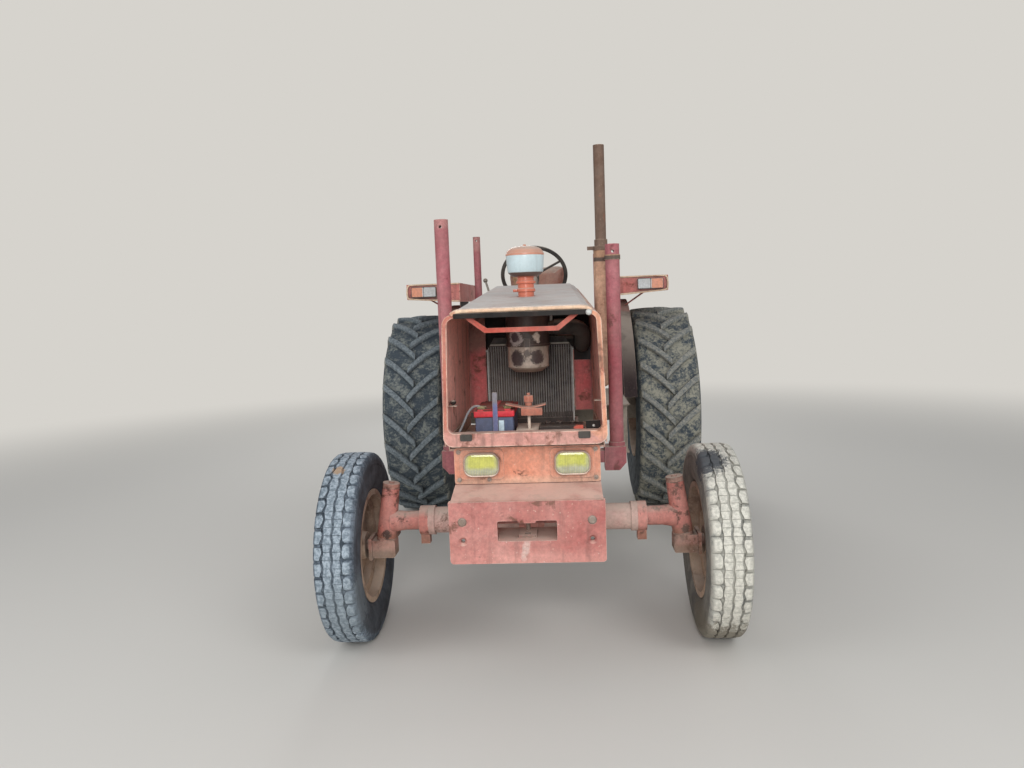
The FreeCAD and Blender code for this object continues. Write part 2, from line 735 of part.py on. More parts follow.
def nose_brace():
    top = bonnet_z(NOSE_Y) - BONNET_SKIRT - SHEET - SEAT_GAP
    low = top - BRACE_DROP
    outer = [(-BRACE_TOP_HALF, top), (-BRACE_LOW_HALF, low), (BRACE_LOW_HALF, low), (BRACE_TOP_HALF, top)]
    inner_top = BRACE_TOP_HALF - 1.7 * BRACE_BAR
    inner_low = BRACE_LOW_HALF - 0.5 * BRACE_BAR
    inner = [(inner_top, top), (inner_low, low + BRACE_BAR), (-inner_low, low + BRACE_BAR),
             (-inner_top, top)]
    return prism("Y", outer + inner, NOSE_Y + NOSE_RIM + SEAT_GAP, NOSE_Y + NOSE_RIM + BRACE_THICK)


def buffers():
    pads = []
    for x in (-BUFFER_X, BUFFER_X):
        pad = oblong((x - BUFFER_HALF, x + BUFFER_HALF), (NOSE_LIP - 32, NOSE_LIP - 2))
        pads.append(rounded_prism("Y", pad, 6.0, NOSE_Y - 8, NOSE_Y - SEAT_GAP))
    return Part.makeCompound(pads)


def wall_x(y, z):
    # Inner face of the nose's side wall
    top = bonnet_z(y) - BONNET_SKIRT
    lean = (NOSE_LOW_HALF - NOSE_TOP_HALF) / (top - (NOSE_LOW - 100))
    return side_half(y) + (top - z) * lean - SHEET


def battery_tray():
    front = PANEL_Y + LAMP_PANEL_THICK + SEAT_GAP
    rear = RADIATOR_Y - 30
    top = SUPPORT_TOP + TRAY_THICK
    edge = NOSE_LOW + TRAY_RIM
    front_x = wall_x(front, edge) - SEAT_GAP
    rear_x = wall_x(rear, edge) - SEAT_GAP
    plan = [(-front_x, front), (front_x, front), (rear_x, rear), (-rear_x, rear)]
    plate = prism("Z", plan, SUPPORT_TOP + SEAT_GAP, edge)
    room = prism("Z", [(x - math.copysign(5, x), y) for x, y in plan], top, edge + 1)
    front_rim = box((-TRAY_LIP_HALF, TRAY_LIP_HALF), (front, front + 5), (top, edge))
    open_ends = box((-NOSE_LOW_HALF, NOSE_LOW_HALF), (front - 1, rear + 1), (top, edge + 1)).common(room)
    return fused([plate.cut(open_ends), front_rim])


def battery():
    x = (BATTERY_INNER_X - BATTERY_WIDTH, BATTERY_INNER_X)
    y = (BATTERY_Y, BATTERY_Y + BATTERY_LENGTH)
    floor = SUPPORT_TOP + TRAY_THICK + SEAT_GAP
    top = floor + BATTERY_HEIGHT
    lid_top = top + BATTERY_LID
    case = box(x, y, (floor, top))
    lid = box((x[0] - 3, x[1] + 3), (y[0] - 3, y[1] + 3), (top, lid_top))
    post_y = y[0] + TERMINAL_IN + 10
    post_x = (x[0] + TERMINAL_IN, x[1] - TERMINAL_IN)
    posts = [rod((px, post_y, lid_top), (px, post_y, lid_top + TERMINAL_HEIGHT),
                 TERMINAL_R) for px in post_x]
    # Lead from the outer post, over the lid's edge and down to the tray
    lead_x = x[0] - LEAD_OUT
    lead = bent_tube(
        [(post_x[0], post_y, lid_top + 8), (post_x[0], post_y, lid_top + LEAD_RISE),
         (lead_x, post_y + 40, lid_top + LEAD_RISE), (lead_x, post_y + 110, floor + 40),
         (lead_x, post_y + 210, floor + 6)],
        LEAD_R, LEAD_BEND,
    )
    strap_x = x[1] - STRAP_IN
    strap_y = y[0] + 60
    loop = oblong((strap_x - STRAP_HALF, strap_x + STRAP_HALF), (lid_top - 8, lid_top + STRAP_RISE))
    strap = rounded_prism("Y", loop, STRAP_CORNER, strap_y, strap_y + STRAP_WIDTH)
    hole = oblong((strap_x - STRAP_HALF + 6, strap_x + STRAP_HALF - 6),
                  (lid_top - 14, lid_top + STRAP_RISE - 6))
    hollow = rounded_prism("Y", hole, STRAP_CORNER - 6, strap_y - 1, strap_y + STRAP_WIDTH + 1)
    return fused([case, lid, lead, strap.cut(hollow)] + posts)


def battery_clamp():
    floor = SUPPORT_TOP + TRAY_THICK + SEAT_GAP
    y = BATTERY_Y + 50
    x = BATTERY_INNER_X + 62
    stud = rod((x, y, floor), (x, y, CLAMP_Z + 66), STUD_R)
    hexagon = [(x + NUT_R * math.cos(i * math.pi / 3),
                y + NUT_R * math.sin(i * math.pi / 3)) for i in range(6)]
    nut = prism("Z", hexagon, CLAMP_Z + 24, CLAMP_Z + 38)
    # A cranked bar, its left end lower by the crank's step
    wing = [(-75, CLAMP_Z - 8), (-24, CLAMP_Z - 8), (-10, CLAMP_Z + 10), (92, CLAMP_Z + 10),
            (92, CLAMP_Z + 20), (-15, CLAMP_Z + 20), (-29, CLAMP_Z + 2), (-75, CLAMP_Z + 2)]
    plate = prism("Y", wing, y - 24, y + 24)
    block = box((x - 16, x + 26), (y - 15, y + 15), (CLAMP_Z - 46, CLAMP_Z + 12))
    return fused([stud, nut, plate, block])


def control_box():
    floor = SUPPORT_TOP + TRAY_THICK + SEAT_GAP
    front = BATTERY_Y + 20
    top = floor + BOX_HEIGHT
    middle = front + BOX_DEPTH / 2
    case = box(BOX_X, (front, front + BOX_DEPTH), (floor, top))
    lid = box((BOX_X[0] - 4, BOX_X[1] + 4), (front - 4, front + BOX_DEPTH + 4), (top - 12, top - 4))
    plugs = [rod((x, middle, top), (x, middle, top + 14), PLUG_R) for x in PLUG_X]
    return fused([case, lid] + plugs)


def radiator():
    side_in = RADIATOR_HALF - RADIATOR_SIDE
    front = RADIATOR_Y
    rear = RADIATOR_END_Y
    core = box((-side_in, side_in), (front + 10, rear - 10), (CORE_LOW, CORE_TOP))
    side = box((side_in, RADIATOR_HALF), (front, rear), (SUPPORT_TOP + SEAT_GAP, CORE_TOP))
    low_tank = box((-RADIATOR_HALF, RADIATOR_HALF), (front, rear), (SUPPORT_TOP + SEAT_GAP, CORE_LOW))
    tank = prism(
        "Y",
        [(-RADIATOR_HALF, CORE_TOP), (RADIATOR_HALF, CORE_TOP), (RADIATOR_HALF - TANK_SLOPE, TANK_TOP),
         (-RADIATOR_HALF + TANK_SLOPE, TANK_TOP)],
        front, rear,
    )
    flange = box((-RADIATOR_HALF - 4, RADIATOR_HALF + 4), (front - 4, rear + 4),
                 (CORE_TOP - 4, CORE_TOP + 6))
    neck = rod((FILLER_X, (front + rear) / 2, TANK_TOP - 1), (FILLER_X, (front + rear) / 2, TANK_TOP + 26),
               FILLER_R)
    fins = []
    pitch = 2 * side_in / (FIN_COUNT + 1)
    for i in range(FIN_COUNT):
        x = -side_in + (i + 1) * pitch
        fins.append(box((x - FIN_THICK / 2, x + FIN_THICK / 2), (front + 3, front + 12),
                        (CORE_LOW, CORE_TOP)))
    return fused([core, side, mirrored(side), low_tank, tank, flange, neck] + fins)


def air_cleaner():
    height = CLEANER_TOP - CLEANER_JOINT
    can = turned(
        [(0, 0), (0, CLEANER_R + 5), (10, CLEANER_R + 5), (10, CLEANER_R), (height - 20, CLEANER_R),
         (height, NECK_R), (height, 0)],
        (0, CLEANER_Y, CLEANER_JOINT), (0, 0, 1),
    )
    cup_height = CLEANER_JOINT - CLEANER_LOW
    cup = turned(
        [(0, 0), (0, CLEANER_R - 40), (25, CLEANER_R - 6), (cup_height, CLEANER_R - 6), (cup_height, 0)],
        (0, CLEANER_Y, CLEANER_LOW), (0, 0, 1),
    )
    clip = box((-13, 13), (CLEANER_Y - CLEANER_R - 8, CLEANER_Y - CLEANER_R + 12),
               (CLEANER_JOINT - 46, CLEANER_JOINT + 40))
    outlet = rod((0, CLEANER_Y, OUTLET_Z), (CLEANER_R + OUTLET_LENGTH, CLEANER_Y, OUTLET_Z), HOSE_R - 7)
    arm = box((-30, 30), (CLEANER_Y + CLEANER_R - 10, RADIATOR_Y - SEAT_GAP),
              (CLEANER_JOINT + 2, TANK_TOP - 3))
    return fused([can, cup, clip, outlet, arm])


def air_pipe():
    # Runs beside the radiator's top tank, behind the fan and down to the intake
    across_z = TANK_TOP - 45
    start = CLEANER_R + OUTLET_LENGTH + SEAT_GAP
    return bent_tube(
        [(start, CLEANER_Y, OUTLET_Z), (PIPE_X, CLEANER_Y, OUTLET_Z), (PIPE_X, RADIATOR_Y - 50, across_z),
         (PIPE_X, FAN_Y + 30, across_z), (-MANIFOLD_X, INTAKE_Y, across_z),
         (-MANIFOLD_X, INTAKE_Y, INTAKE_TOP + SEAT_GAP)],
        HOSE_R, PIPE_BEND,
    )


def precleaner():
    low = CLEANER_TOP + SEAT_GAP
    profile = [
        (0, 0), (0, NECK_R), (BOWL_LOW - 14 - low, NECK_R), (BOWL_LOW - low, BOWL_R - 9),
        (BOWL_TOP - low, BOWL_R), (BOWL_TOP + 22 - low, BOWL_R - 6), (DOME_TOP - 12 - low, BOWL_R - 38),
        (DOME_TOP - low, 40), (DOME_TOP - low, 0),
    ]
    return turned(profile, (0, CLEANER_Y, low), (0, 0, 1))


def port_y(i):
    # Middle of a cylinder's port along the engine
    return ENGINE_Y + 80 + i * (ENGINE_LENGTH - 170) / (CYLINDERS - 1)


def engine():
    rear = ENGINE_END_Y
    head_top = HEAD_LOW + HEAD_HEIGHT
    block = box((-ENGINE_HALF, ENGINE_HALF), (ENGINE_Y, rear), (BLOCK_LOW, HEAD_LOW))
    sump = prism(
        "X",
        [(ENGINE_Y, BLOCK_LOW), (ENGINE_Y, BLOCK_LOW - 80), (ENGINE_Y + 120, SUMP_LOW),
         (rear - 40, SUMP_LOW), (rear - 40, BLOCK_LOW)],
        -ENGINE_HALF + 20, ENGINE_HALF - 20,
    )
    rail = box((-ENGINE_HALF - 10, ENGINE_HALF + 10), (ENGINE_Y + 4, rear - 4),
               (BLOCK_LOW - 12, BLOCK_LOW + 12))
    head = box((-HEAD_HALF, HEAD_HALF), (ENGINE_Y + 20, rear - 30), (HEAD_LOW, head_top))
    cover_top = head_top + COVER_HEIGHT
    cover = rounded_prism("Z", oblong((-COVER_HALF, COVER_HALF), (ENGINE_Y + 50, rear - 60)), 30.0,
                          head_top - 1, cover_top - COVER_LID)
    cover_lid = rounded_prism("Z", oblong((-COVER_HALF + 10, COVER_HALF - 10), (ENGINE_Y + 60, rear - 70)),
                              25.0, cover_top - COVER_LID - 1, cover_top)
    filler = rod((0, rear - 150, head_top), (0, rear - 150, cover_top + 24), OIL_CAP_R)
    timing_face = [(-TIMING_LOW_HALF, SUPPORT_TOP + 6), (TIMING_LOW_HALF, SUPPORT_TOP + 6),
                   (TIMING_TOP_HALF, HEAD_LOW + 10), (-TIMING_TOP_HALF, HEAD_LOW + 10)]
    timing = prism("Y", timing_face, ENGINE_Y - TIMING_DEPTH, ENGINE_Y + 1)
    shaft_y = BELT_Y + BELT_WIDTH / 2 + PULLEY_REACH + SEAT_GAP
    pump = cone((0, shaft_y + 14, FAN_Z), (0, ENGINE_Y + 21, FAN_Z), 40, 64)
    pump_shaft = rod((0, shaft_y, FAN_Z), (0, shaft_y + 15, FAN_Z), CRANK_SHAFT_R)
    crank = rod((0, shaft_y, CRANK_Z), (0, ENGINE_Y + 1, CRANK_Z), CRANK_SHAFT_R)
    filter_y = ENGINE_Y + 200
    filter_x = ENGINE_HALF + OIL_FILTER_OUT
    filter_z = (BLOCK_LOW + 30, BLOCK_LOW + 30 + OIL_FILTER_HEIGHT)
    oil_filter = rod((filter_x, filter_y, filter_z[0]), (filter_x, filter_y, filter_z[1]), OIL_FILTER_R)
    filter_head = box((ENGINE_HALF - 1, filter_x + OIL_FILTER_R),
                      (filter_y - OIL_FILTER_R + 2, filter_y + OIL_FILTER_R - 2),
                      (filter_z[1] - 1, filter_z[1] + 36))
    shapes = [block, sump, rail, head, cover, cover_lid, filler, timing, pump, pump_shaft, crank,
              oil_filter, filter_head]
    # Mounting pads: side, start along the engine, length, lowest, height
    pads = ((-1, 190, 220, PUMP_Z - 62, 84), (-1, 480, 156, HEAD_LOW - 64, 36),
            (1, ENGINE_LENGTH - 112, 44, BLOCK_LOW + 30, 60))
    for side, along_y, length, low, height in pads:
        x = sorted((side * (ENGINE_HALF - 1), side * (ENGINE_HALF + PAD)))
        shapes.append(box(x, (ENGINE_Y + along_y, ENGINE_Y + along_y + length), (low, low + height)))
    for i in range(CYLINDERS):
        y = port_y(i)
        for side in (1, -1):
            x = side * ENGINE_HALF
            shapes.append(rod((x - side, y, BLOCK_LOW + 90), (x + side * PAD, y, BLOCK_LOW + 90), 26))
        if i < CYLINDERS - 1:
            shapes.append(box((-ENGINE_HALF - BLOCK_RIB, ENGINE_HALF + BLOCK_RIB), (y + 70, y + 82),
                              (BLOCK_LOW + 10, HEAD_LOW - 20)))
    return fused(shapes)


def belt_wire(circles, extra, y):
    # Taut outline round three pulleys, each (x, z, radius), taken anticlockwise
    normals = []
    count = len(circles)
    for i in range(count):
        x0, z0, r0 = circles[i]
        x1, z1, r1 = circles[(i + 1) % count]
        gap = math.hypot(x1 - x0, z1 - z0)
        normals.append(math.atan2(z1 - z0, x1 - x0) - math.acos((r0 - r1) / gap))
    edges = []
    for i in range(count):
        x, z, r = circles[i]
        first = normals[i - 1]
        turn = (normals[i] - first) % (2 * math.pi)
        reach = r + extra
        arc = [Vector(x + reach * math.cos(first + turn * share), y,
                      z + reach * math.sin(first + turn * share))
               for share in (0.0, 0.5, 1.0)]
        edges.append(Part.Arc(*arc).toShape())
        nx, nz, nr = circles[(i + 1) % count]
        ahead = Vector(nx + (nr + extra) * math.cos(normals[i]), y,
                       nz + (nr + extra) * math.sin(normals[i]))
        edges.append(Part.makeLine(arc[2], ahead))
    return Part.Wire(edges)


def fan_drive():
    # One piece: fan and its pulley, crank pulley, and the belt round both and the alternator's pulley
    pulleys = [(0, CRANK_Z, CRANK_PULLEY_R), (0, FAN_Z, FAN_PULLEY_R),
               (ALTERNATOR_X, ALTERNATOR_Z, ALTERNATOR_PULLEY_R)]
    low = BELT_Y - BELT_WIDTH / 2
    high = BELT_Y + BELT_WIDTH / 2
    outer = Part.Face(belt_wire(pulleys, BELT_THICK, low)).extrude(Vector(0, BELT_WIDTH, 0))
    inner = Part.Face(belt_wire(pulleys, 0, low - 1)).extrude(Vector(0, BELT_WIDTH + 2, 0))
    shapes = [outer.cut(inner)]
    for x, z, radius in pulleys:
        shapes.append(rod((x, low - PULLEY_REACH, z), (x, high + PULLEY_REACH, z), radius))
        shapes.append(tube((x, low - 6, z), (x, low, z), radius + 6, radius - 14))
    shapes.append(rod((0, FAN_Y - 14, FAN_Z), (0, low, FAN_Z), FAN_HUB_R))
    for i in range(FAN_BLADES):
        turn = i * 360 / FAN_BLADES
        blade = box((-BLADE_HALF, BLADE_HALF), (FAN_Y - 3, FAN_Y + 3),
                    (FAN_Z + FAN_HUB_R - 10, FAN_Z + FAN_R))
        blade.rotate(Vector(0, FAN_Y, FAN_Z), Vector(0, 0, 1), BLADE_PITCH)
        blade.rotate(Vector(0, FAN_Y, FAN_Z), Vector(0, 1, 0), turn)
        shapes.append(blade)
    return fused(shapes)


def alternator():
    front = BELT_Y + BELT_WIDTH / 2 + PULLEY_REACH + SEAT_GAP
    case_y = ENGINE_Y + 8
    z = ALTERNATOR_Z
    x = ALTERNATOR_X
    shaft = rod((x, front, z), (x, case_y + 1, z), 16)
    case = turned(
        [(0, 0), (0, ALTERNATOR_R - 16), (16, ALTERNATOR_R), (ALTERNATOR_LENGTH - 24, ALTERNATOR_R),
         (ALTERNATOR_LENGTH, ALTERNATOR_R - 22), (ALTERNATOR_LENGTH, 0)],
        (x, case_y, z), (0, 1, 0),
    )
    band = tube((x, case_y + 50, z), (x, case_y + 100, z), ALTERNATOR_R + 4, ALTERNATOR_R - 1)
    foot = box((x - 10, -ENGINE_HALF - SEAT_GAP), (case_y + 20, case_y + 44),
               (z - ALTERNATOR_R - 16, z - ALTERNATOR_R + 12))
    return fused([shaft, case, band, foot])


def injection_pump():
    inner = -ENGINE_HALF - PAD - SEAT_GAP
    outer = inner - PUMP_WIDTH
    middle = outer + PUMP_WIDTH / 2 + 4
    y = (PUMP_Y, PUMP_Y + PUMP_LENGTH)
    case = box((outer + 8, inner), y, (PUMP_Z - 60, PUMP_Z + 20))
    top = box((outer + 18, inner - 10), (y[0] + 10, y[1] - 10), (PUMP_Z + 19, PUMP_Z + 44))
    drive = rod((middle, y[0] - 34, PUMP_Z - 20), (middle, y[0] + 1, PUMP_Z - 20), PUMP_DRIVE_R)
    governor = rod((middle, y[1] - 1, PUMP_Z - 16), (middle, y[1] + 46, PUMP_Z - 16), PUMP_DRIVE_R + 1)
    shapes = [case, top, drive, governor]
    pitch = (PUMP_LENGTH - 68) / (CYLINDERS - 1)
    for i in range(CYLINDERS):
        port = y[0] + 34 + i * pitch
        shapes.append(rod((middle, port, PUMP_Z + 43), (middle, port, PUMP_Z + 66), PUMP_PORT_R))
    return fused(shapes)


def fuel_filters():
    x = -ENGINE_HALF - PAD - FUEL_FILTER_R - 12
    z = HEAD_LOW - 60
    ends = (FUEL_FILTER_Y, FUEL_FILTER_Y + 2 * FUEL_FILTER_PITCH)
    shapes = [box((x - FUEL_FILTER_R - 6, -ENGINE_HALF - PAD - SEAT_GAP), ends, (z, z + 28))]
    for y in (ends[0] + FUEL_FILTER_PITCH / 2, ends[1] - FUEL_FILTER_PITCH / 2):
        foot = z - FUEL_FILTER_HEIGHT
        shapes.append(rod((x, y, foot + 18), (x, y, z + 1), FUEL_FILTER_R))
        shapes.append(cone((x, y, foot), (x, y, foot + 19), 16, FUEL_FILTER_R - 6))
    return fused(shapes)


def starter():
    x = ENGINE_HALF + STARTER_OUT
    z = BLOCK_LOW + 60
    rear = ENGINE_END_Y - SEAT_GAP
    motor = rod((x, rear - STARTER_LENGTH, z), (x, rear - 60, z), STARTER_R)
    nose_cone = cone((x, rear - 60, z), (x, rear, z), STARTER_R, STARTER_R + 10)
    solenoid_z = z + STARTER_R + SOLENOID_R - 3
    solenoid = rod((x, rear - STARTER_LENGTH + 30, solenoid_z), (x, rear - 50, solenoid_z), SOLENOID_R)
    saddle = box((x - 18, x + 18), (rear - 170, rear - 70), (z + 30, z + 56))
    foot = box((ENGINE_HALF + PAD + SEAT_GAP, x), (rear - 100, rear - 80), (z - 20, z + 20))
    return fused([motor, nose_cone, solenoid, saddle, foot])


def manifolds():
    rear = ENGINE_END_Y - 60
    exhaust_log = rod((MANIFOLD_X, MUFFLER_Y - 35, MANIFOLD_Z), (MANIFOLD_X, rear, MANIFOLD_Z), MANIFOLD_R)
    intake_face = oblong((-MANIFOLD_X - INTAKE_LOG, -MANIFOLD_X + INTAKE_LOG),
                         (MANIFOLD_Z - 26, MANIFOLD_Z + 26))
    intake_log = rounded_prism("Y", intake_face, 16.0, ENGINE_Y + 44, rear)
    hot = [exhaust_log]
    inlet = rod((-MANIFOLD_X, INTAKE_Y, MANIFOLD_Z), (-MANIFOLD_X, INTAKE_Y, INTAKE_TOP), HOSE_R - 8)
    cold = [intake_log, inlet]
    start = HEAD_HALF + SEAT_GAP
    for i in range(CYLINDERS):
        y = port_y(i)
        for side, pieces in ((1, hot), (-1, cold)):
            flange = sorted((side * start, side * (start + 10)))
            port = sorted((side * start, side * MANIFOLD_X))
            pieces.append(box(flange, (y - 34, y + 34), (MANIFOLD_Z - 34, MANIFOLD_Z + 34)))
            pieces.append(box(port, (y - 20, y + 20), (MANIFOLD_Z - 20, MANIFOLD_Z + 20)))
    return Part.makeCompound([fused(hot), fused(cold)])


def exhaust():
    x = MUFFLER_X
    y = MUFFLER_Y
    muffler = rod((x, y, MUFFLER_LOW), (x, y, MUFFLER_TOP), MUFFLER_R)
    foot_ring = rod((x, y, MUFFLER_LOW), (x, y, MUFFLER_LOW + 14), MUFFLER_R + 4)
    collar = rod((x, y, MUFFLER_TOP - 16), (x, y, MUFFLER_TOP + 4), MUFFLER_R + 5)
    ear = box((x - MUFFLER_R - 34, x - MUFFLER_R), (y - 14, y - 6), (MUFFLER_TOP - 16, MUFFLER_TOP + 4))
    neck = rod((x, y, MUFFLER_TOP), (x, y, MUFFLER_TOP + 40), STACK_R + 6)
    stack = rod((x, y, MUFFLER_TOP), (x, y, STACK_TOP), STACK_R)
    mouth = rod((x, y, STACK_TOP - 120), (x, y, STACK_TOP + 1), STACK_R - STACK_WALL)
    down = rod((x, y, MANIFOLD_Z), (x, y, MUFFLER_LOW), DOWN_PIPE_R)
    across = rod((MANIFOLD_X + MANIFOLD_R + SEAT_GAP, y, MANIFOLD_Z), (x, y, MANIFOLD_Z), DOWN_PIPE_R)
    ball = Part.makeSphere(DOWN_PIPE_R, Vector(x, y, MANIFOLD_Z))
    band_z = MUFFLER_TOP - BAND_DROP
    band = tube((POST_X, POST_Y, band_z), (POST_X, POST_Y, band_z + BAND_HEIGHT), POST_R + 4,
                POST_R + SEAT_GAP)
    tie = box((POST_X - 30, POST_X - 24), (POST_Y + 20, y), (band_z + 2, band_z + BAND_HEIGHT - 2))
    tie = tie.cut(rod((POST_X, POST_Y, band_z - 8), (POST_X, POST_Y, band_z + BAND_HEIGHT + 8),
                      POST_R + SEAT_GAP))
    return fused([muffler, foot_ring, collar, ear, neck, stack, down, across, ball, band, tie]).cut(mouth)


def front_posts():
    posts = []
    for side, top in ((1, POST_TOP_LEFT), (-1, POST_TOP_RIGHT)):
        x = side * POST_X
        low = POST_LOW + SEAT_GAP
        post = tube((x, POST_Y, low), (x, POST_Y, top), POST_R, POST_R - POST_WALL)
        foot = tube((x, POST_Y, low), (x, POST_Y, low + FOOT_RING), POST_R + 6, POST_R - POST_WALL)
        hole_z = top - POST_HOLE_DROP
        hole = rod((x, POST_Y - POST_R - 1, hole_z), (x, POST_Y + POST_R + 1, hole_z), POST_HOLE_R)
        posts.append(fused([post, foot]).cut(hole))
    return Part.makeCompound(posts)


def post_brackets():
    outline = [(POST_X - 68, POST_LOW), (POST_X + 47, POST_LOW), (POST_X + 47, BRACKET_LOW + 42),
               (POST_X + 10, BRACKET_LOW), (POST_X - 68, BRACKET_LOW)]
    block = prism("Y", outline, POST_Y - 48, POST_Y + 48)
    arm = box((SUPPORT_HALF + SEAT_GAP, POST_X - 60), (POST_Y - 40, POST_Y + 40),
              (BRACKET_LOW + 43, BRACKET_LOW + 108))
    flange = box((SUPPORT_HALF + SEAT_GAP, SUPPORT_HALF + 18), (POST_Y - 62, POST_Y + 62),
                 (BRACKET_LOW + 13, POST_LOW + 19))
    return both(fused([block, arm, flange]))


def axle_beam():
    bore = AXLE_TUBE_R - AXLE_TUBE_WALL
    left = (AXLE_TUBE_END, FRONT_AXLE_Y, AXLE_TUBE_Z)
    right = (-AXLE_TUBE_END, FRONT_AXLE_Y, AXLE_TUBE_Z)
    beam = tube(right, left, AXLE_TUBE_R, bore)
    block = box((-110, 110), (FRONT_AXLE_Y - AXLE_BLOCK_Y, FRONT_AXLE_Y + AXLE_BLOCK_Y),
                (AXLE_TUBE_Z - AXLE_BLOCK, AXLE_TUBE_Z + AXLE_BLOCK))
    pin_hole = rod((0, FRONT_AXLE_Y - 90, AXLE_TUBE_Z), (0, FRONT_AXLE_Y + 90, AXLE_TUBE_Z),
                   AXLE_PIN_R + PIN_GAP)
    ring = tube((AXLE_TUBE_END - AXLE_RING, FRONT_AXLE_Y, AXLE_TUBE_Z), left, AXLE_TUBE_R + 8, bore)
    return fused([beam, block, ring, mirrored(ring)]).cut(pin_hole)


def axle_arms():
    y = FRONT_AXLE_Y
    inner_r = AXLE_TUBE_R - AXLE_TUBE_WALL - SEAT_GAP
    collar_x = (AXLE_TUBE_END + SEAT_GAP, AXLE_TUBE_END + AXLE_COLLAR_W)
    arm = rod((200, y, AXLE_TUBE_Z), (on_kingpin(AXLE_TUBE_Z), y, AXLE_TUBE_Z), inner_r)
    housing = cone(kingpin_point(HOUSING_LOW), kingpin_point(HOUSING_TOP), HOUSING_FOOT_R, HOUSING_R)
    collar = rod((collar_x[0], y, AXLE_TUBE_Z), (collar_x[1], y, AXLE_TUBE_Z), AXLE_TUBE_R + 8)
    tab = box(collar_x, (y - 24, y + 24), (AXLE_TUBE_Z - COLLAR_TAB, AXLE_TUBE_Z))
    root = cone((on_kingpin(AXLE_TUBE_Z) - 90, y, AXLE_TUBE_Z),
                (on_kingpin(AXLE_TUBE_Z) - 20, y, AXLE_TUBE_Z), inner_r, 58)
    bore = rod(kingpin_point(HOUSING_LOW - 40), kingpin_point(HOUSING_TOP + 40), KINGPIN_R + PIN_GAP)
    return both(fused([arm, housing, collar, tab, root]).cut(bore))


def knuckle():
    y = FRONT_AXLE_Y
    low = kingpin_point(HOUSING_LOW - 40)
    high = kingpin_point(HOUSING_TOP + 22)
    up = (high - low).normalize()
    foot = kingpin_point(HOUSING_LOW) - up * PART_GAP
    cap_low = kingpin_point(HOUSING_TOP) + up * PART_GAP
    block_z = (FRONT_TYRE_R - 56, FRONT_TYRE_R + 32)
    block = rounded_prism("Y", oblong((KINGPIN_X - 53, KINGPIN_X + 76), block_z), 12.0, y - 45, y + 45)
    plate = box((KINGPIN_X + 60, KINGPIN_X + 76), (y - 62, y + 62), (block_z[0] - 6, block_z[1] + 14))
    spindle = rod((KINGPIN_X + 60, y, FRONT_TYRE_R), (FRONT_HALF_TRACK + 30, y, FRONT_TYRE_R), SPINDLE_R)
    arm_x = on_kingpin(TIE_ROD_Z)
    arm_y = y + STEERING_ARM
    arm_z = (TIE_ROD_Z - 64, TIE_ROD_Z - 40)
    return fused([
        rod(low, high, KINGPIN_R),
        Part.makeCylinder(HOUSING_FOOT_R, 14, foot - up * 14, up),
        Part.makeCylinder(HOUSING_R, 22, cap_low, up),
        Part.makeCylinder(14, 8, cap_low + up * 21, up),
        block, plate, spindle,
        box((arm_x - 24, arm_x + 24), (y, arm_y), arm_z),
        rod((arm_x, arm_y, arm_z[0]), (arm_x, arm_y, arm_z[1]), 24),
        rod((arm_x, arm_y, arm_z[1] - 10), (arm_x, arm_y, TIE_ROD_Z), 8),
        Part.makeSphere(BALL_R, Vector(arm_x, arm_y, TIE_ROD_Z)),
    ])


def tie_rod_axis():
    # The left ball joint's axis leans a little further forward than the kingpin,
    # which keeps the far end on its ball
    tilt = math.radians(KINGPIN_TILT)
    return Vector(-math.sin(tilt), TIE_ROD_LEAN, math.cos(tilt)).normalize()


def tie_rod():
    y = FRONT_AXLE_Y + STEERING_ARM
    end = on_kingpin(TIE_ROD_Z)
    solid = rod((-end + 20, y, TIE_ROD_Z), (end - 20, y, TIE_ROD_Z), TIE_ROD_R)
    for side in (1, -1):
        sleeve = rod((side * (end - 110), y, TIE_ROD_Z), (side * (end - 60), y, TIE_ROD_Z), TIE_ROD_R + 5)
        solid = solid.fuse(sleeve)
    sockets = ((end, tie_rod_axis(), BALL_R + PIN_GAP), (-end, Vector(0, 0, 1), BALL_R + BALL_ROOM))
    for x, up, bore in sockets:
        centre = Vector(x, y, TIE_ROD_Z)
        foot = centre - up * SOCKET_DOWN
        solid = solid.fuse(Part.makeCylinder(SOCKET_R, SOCKET_UP + SOCKET_DOWN, foot, up))
        solid = solid.cut(Part.makeCylinder(bore, SOCKET_DOWN + 1 + bore, foot - up, up))
    return solid.removeSplitter()


def wheel_point(x, radius, degrees, centre):
    # A point of a wheel, its angle measured round the axle from straight down
    turn = math.radians(degrees)
    return Vector(centre.x + x, centre.y + radius * math.sin(turn), centre.z - radius * math.cos(turn))


def flat_faced(faces):
    shell = Part.Shell([Part.Face(Part.makePolygon(list(corners) + [corners[0]])) for corners in faces])
    shell.sewShape()
    solid = Part.Solid(shell)
    if solid.Volume < 0:
        solid.reverse()
    return solid


def carcass(radius, width, tread_w, flange_r, rim_w, centre, facets):
    # A ring of flat facets. Its seat on the rim stays clear between the ring's corners
    half = width / 2
    inner = rim_w / 2 - FLANGE_SHEET - SEAT_GAP
    seat = (flange_r - BEAD_DROP) / math.cos(math.pi / facets)
    rise = radius - flange_r
    side = [(inner, seat), (inner, flange_r + 4), (half, flange_r + 0.42 * rise),
            (half - 6, flange_r + 0.68 * rise), (tread_w / 2, radius)]
    outline = side + [(-x, r) for x, r in reversed(side)]
    rows = [[wheel_point(x, r, k * 360 / facets, centre) for x, r in outline] for k in range(facets)]
    faces = []
    for k in range(facets):
        here = rows[k - 1]
        ahead = rows[k]
        faces += [(here[i - 1], here[i], ahead[i], ahead[i - 1]) for i in range(len(outline))]
    return flat_faced(faces)


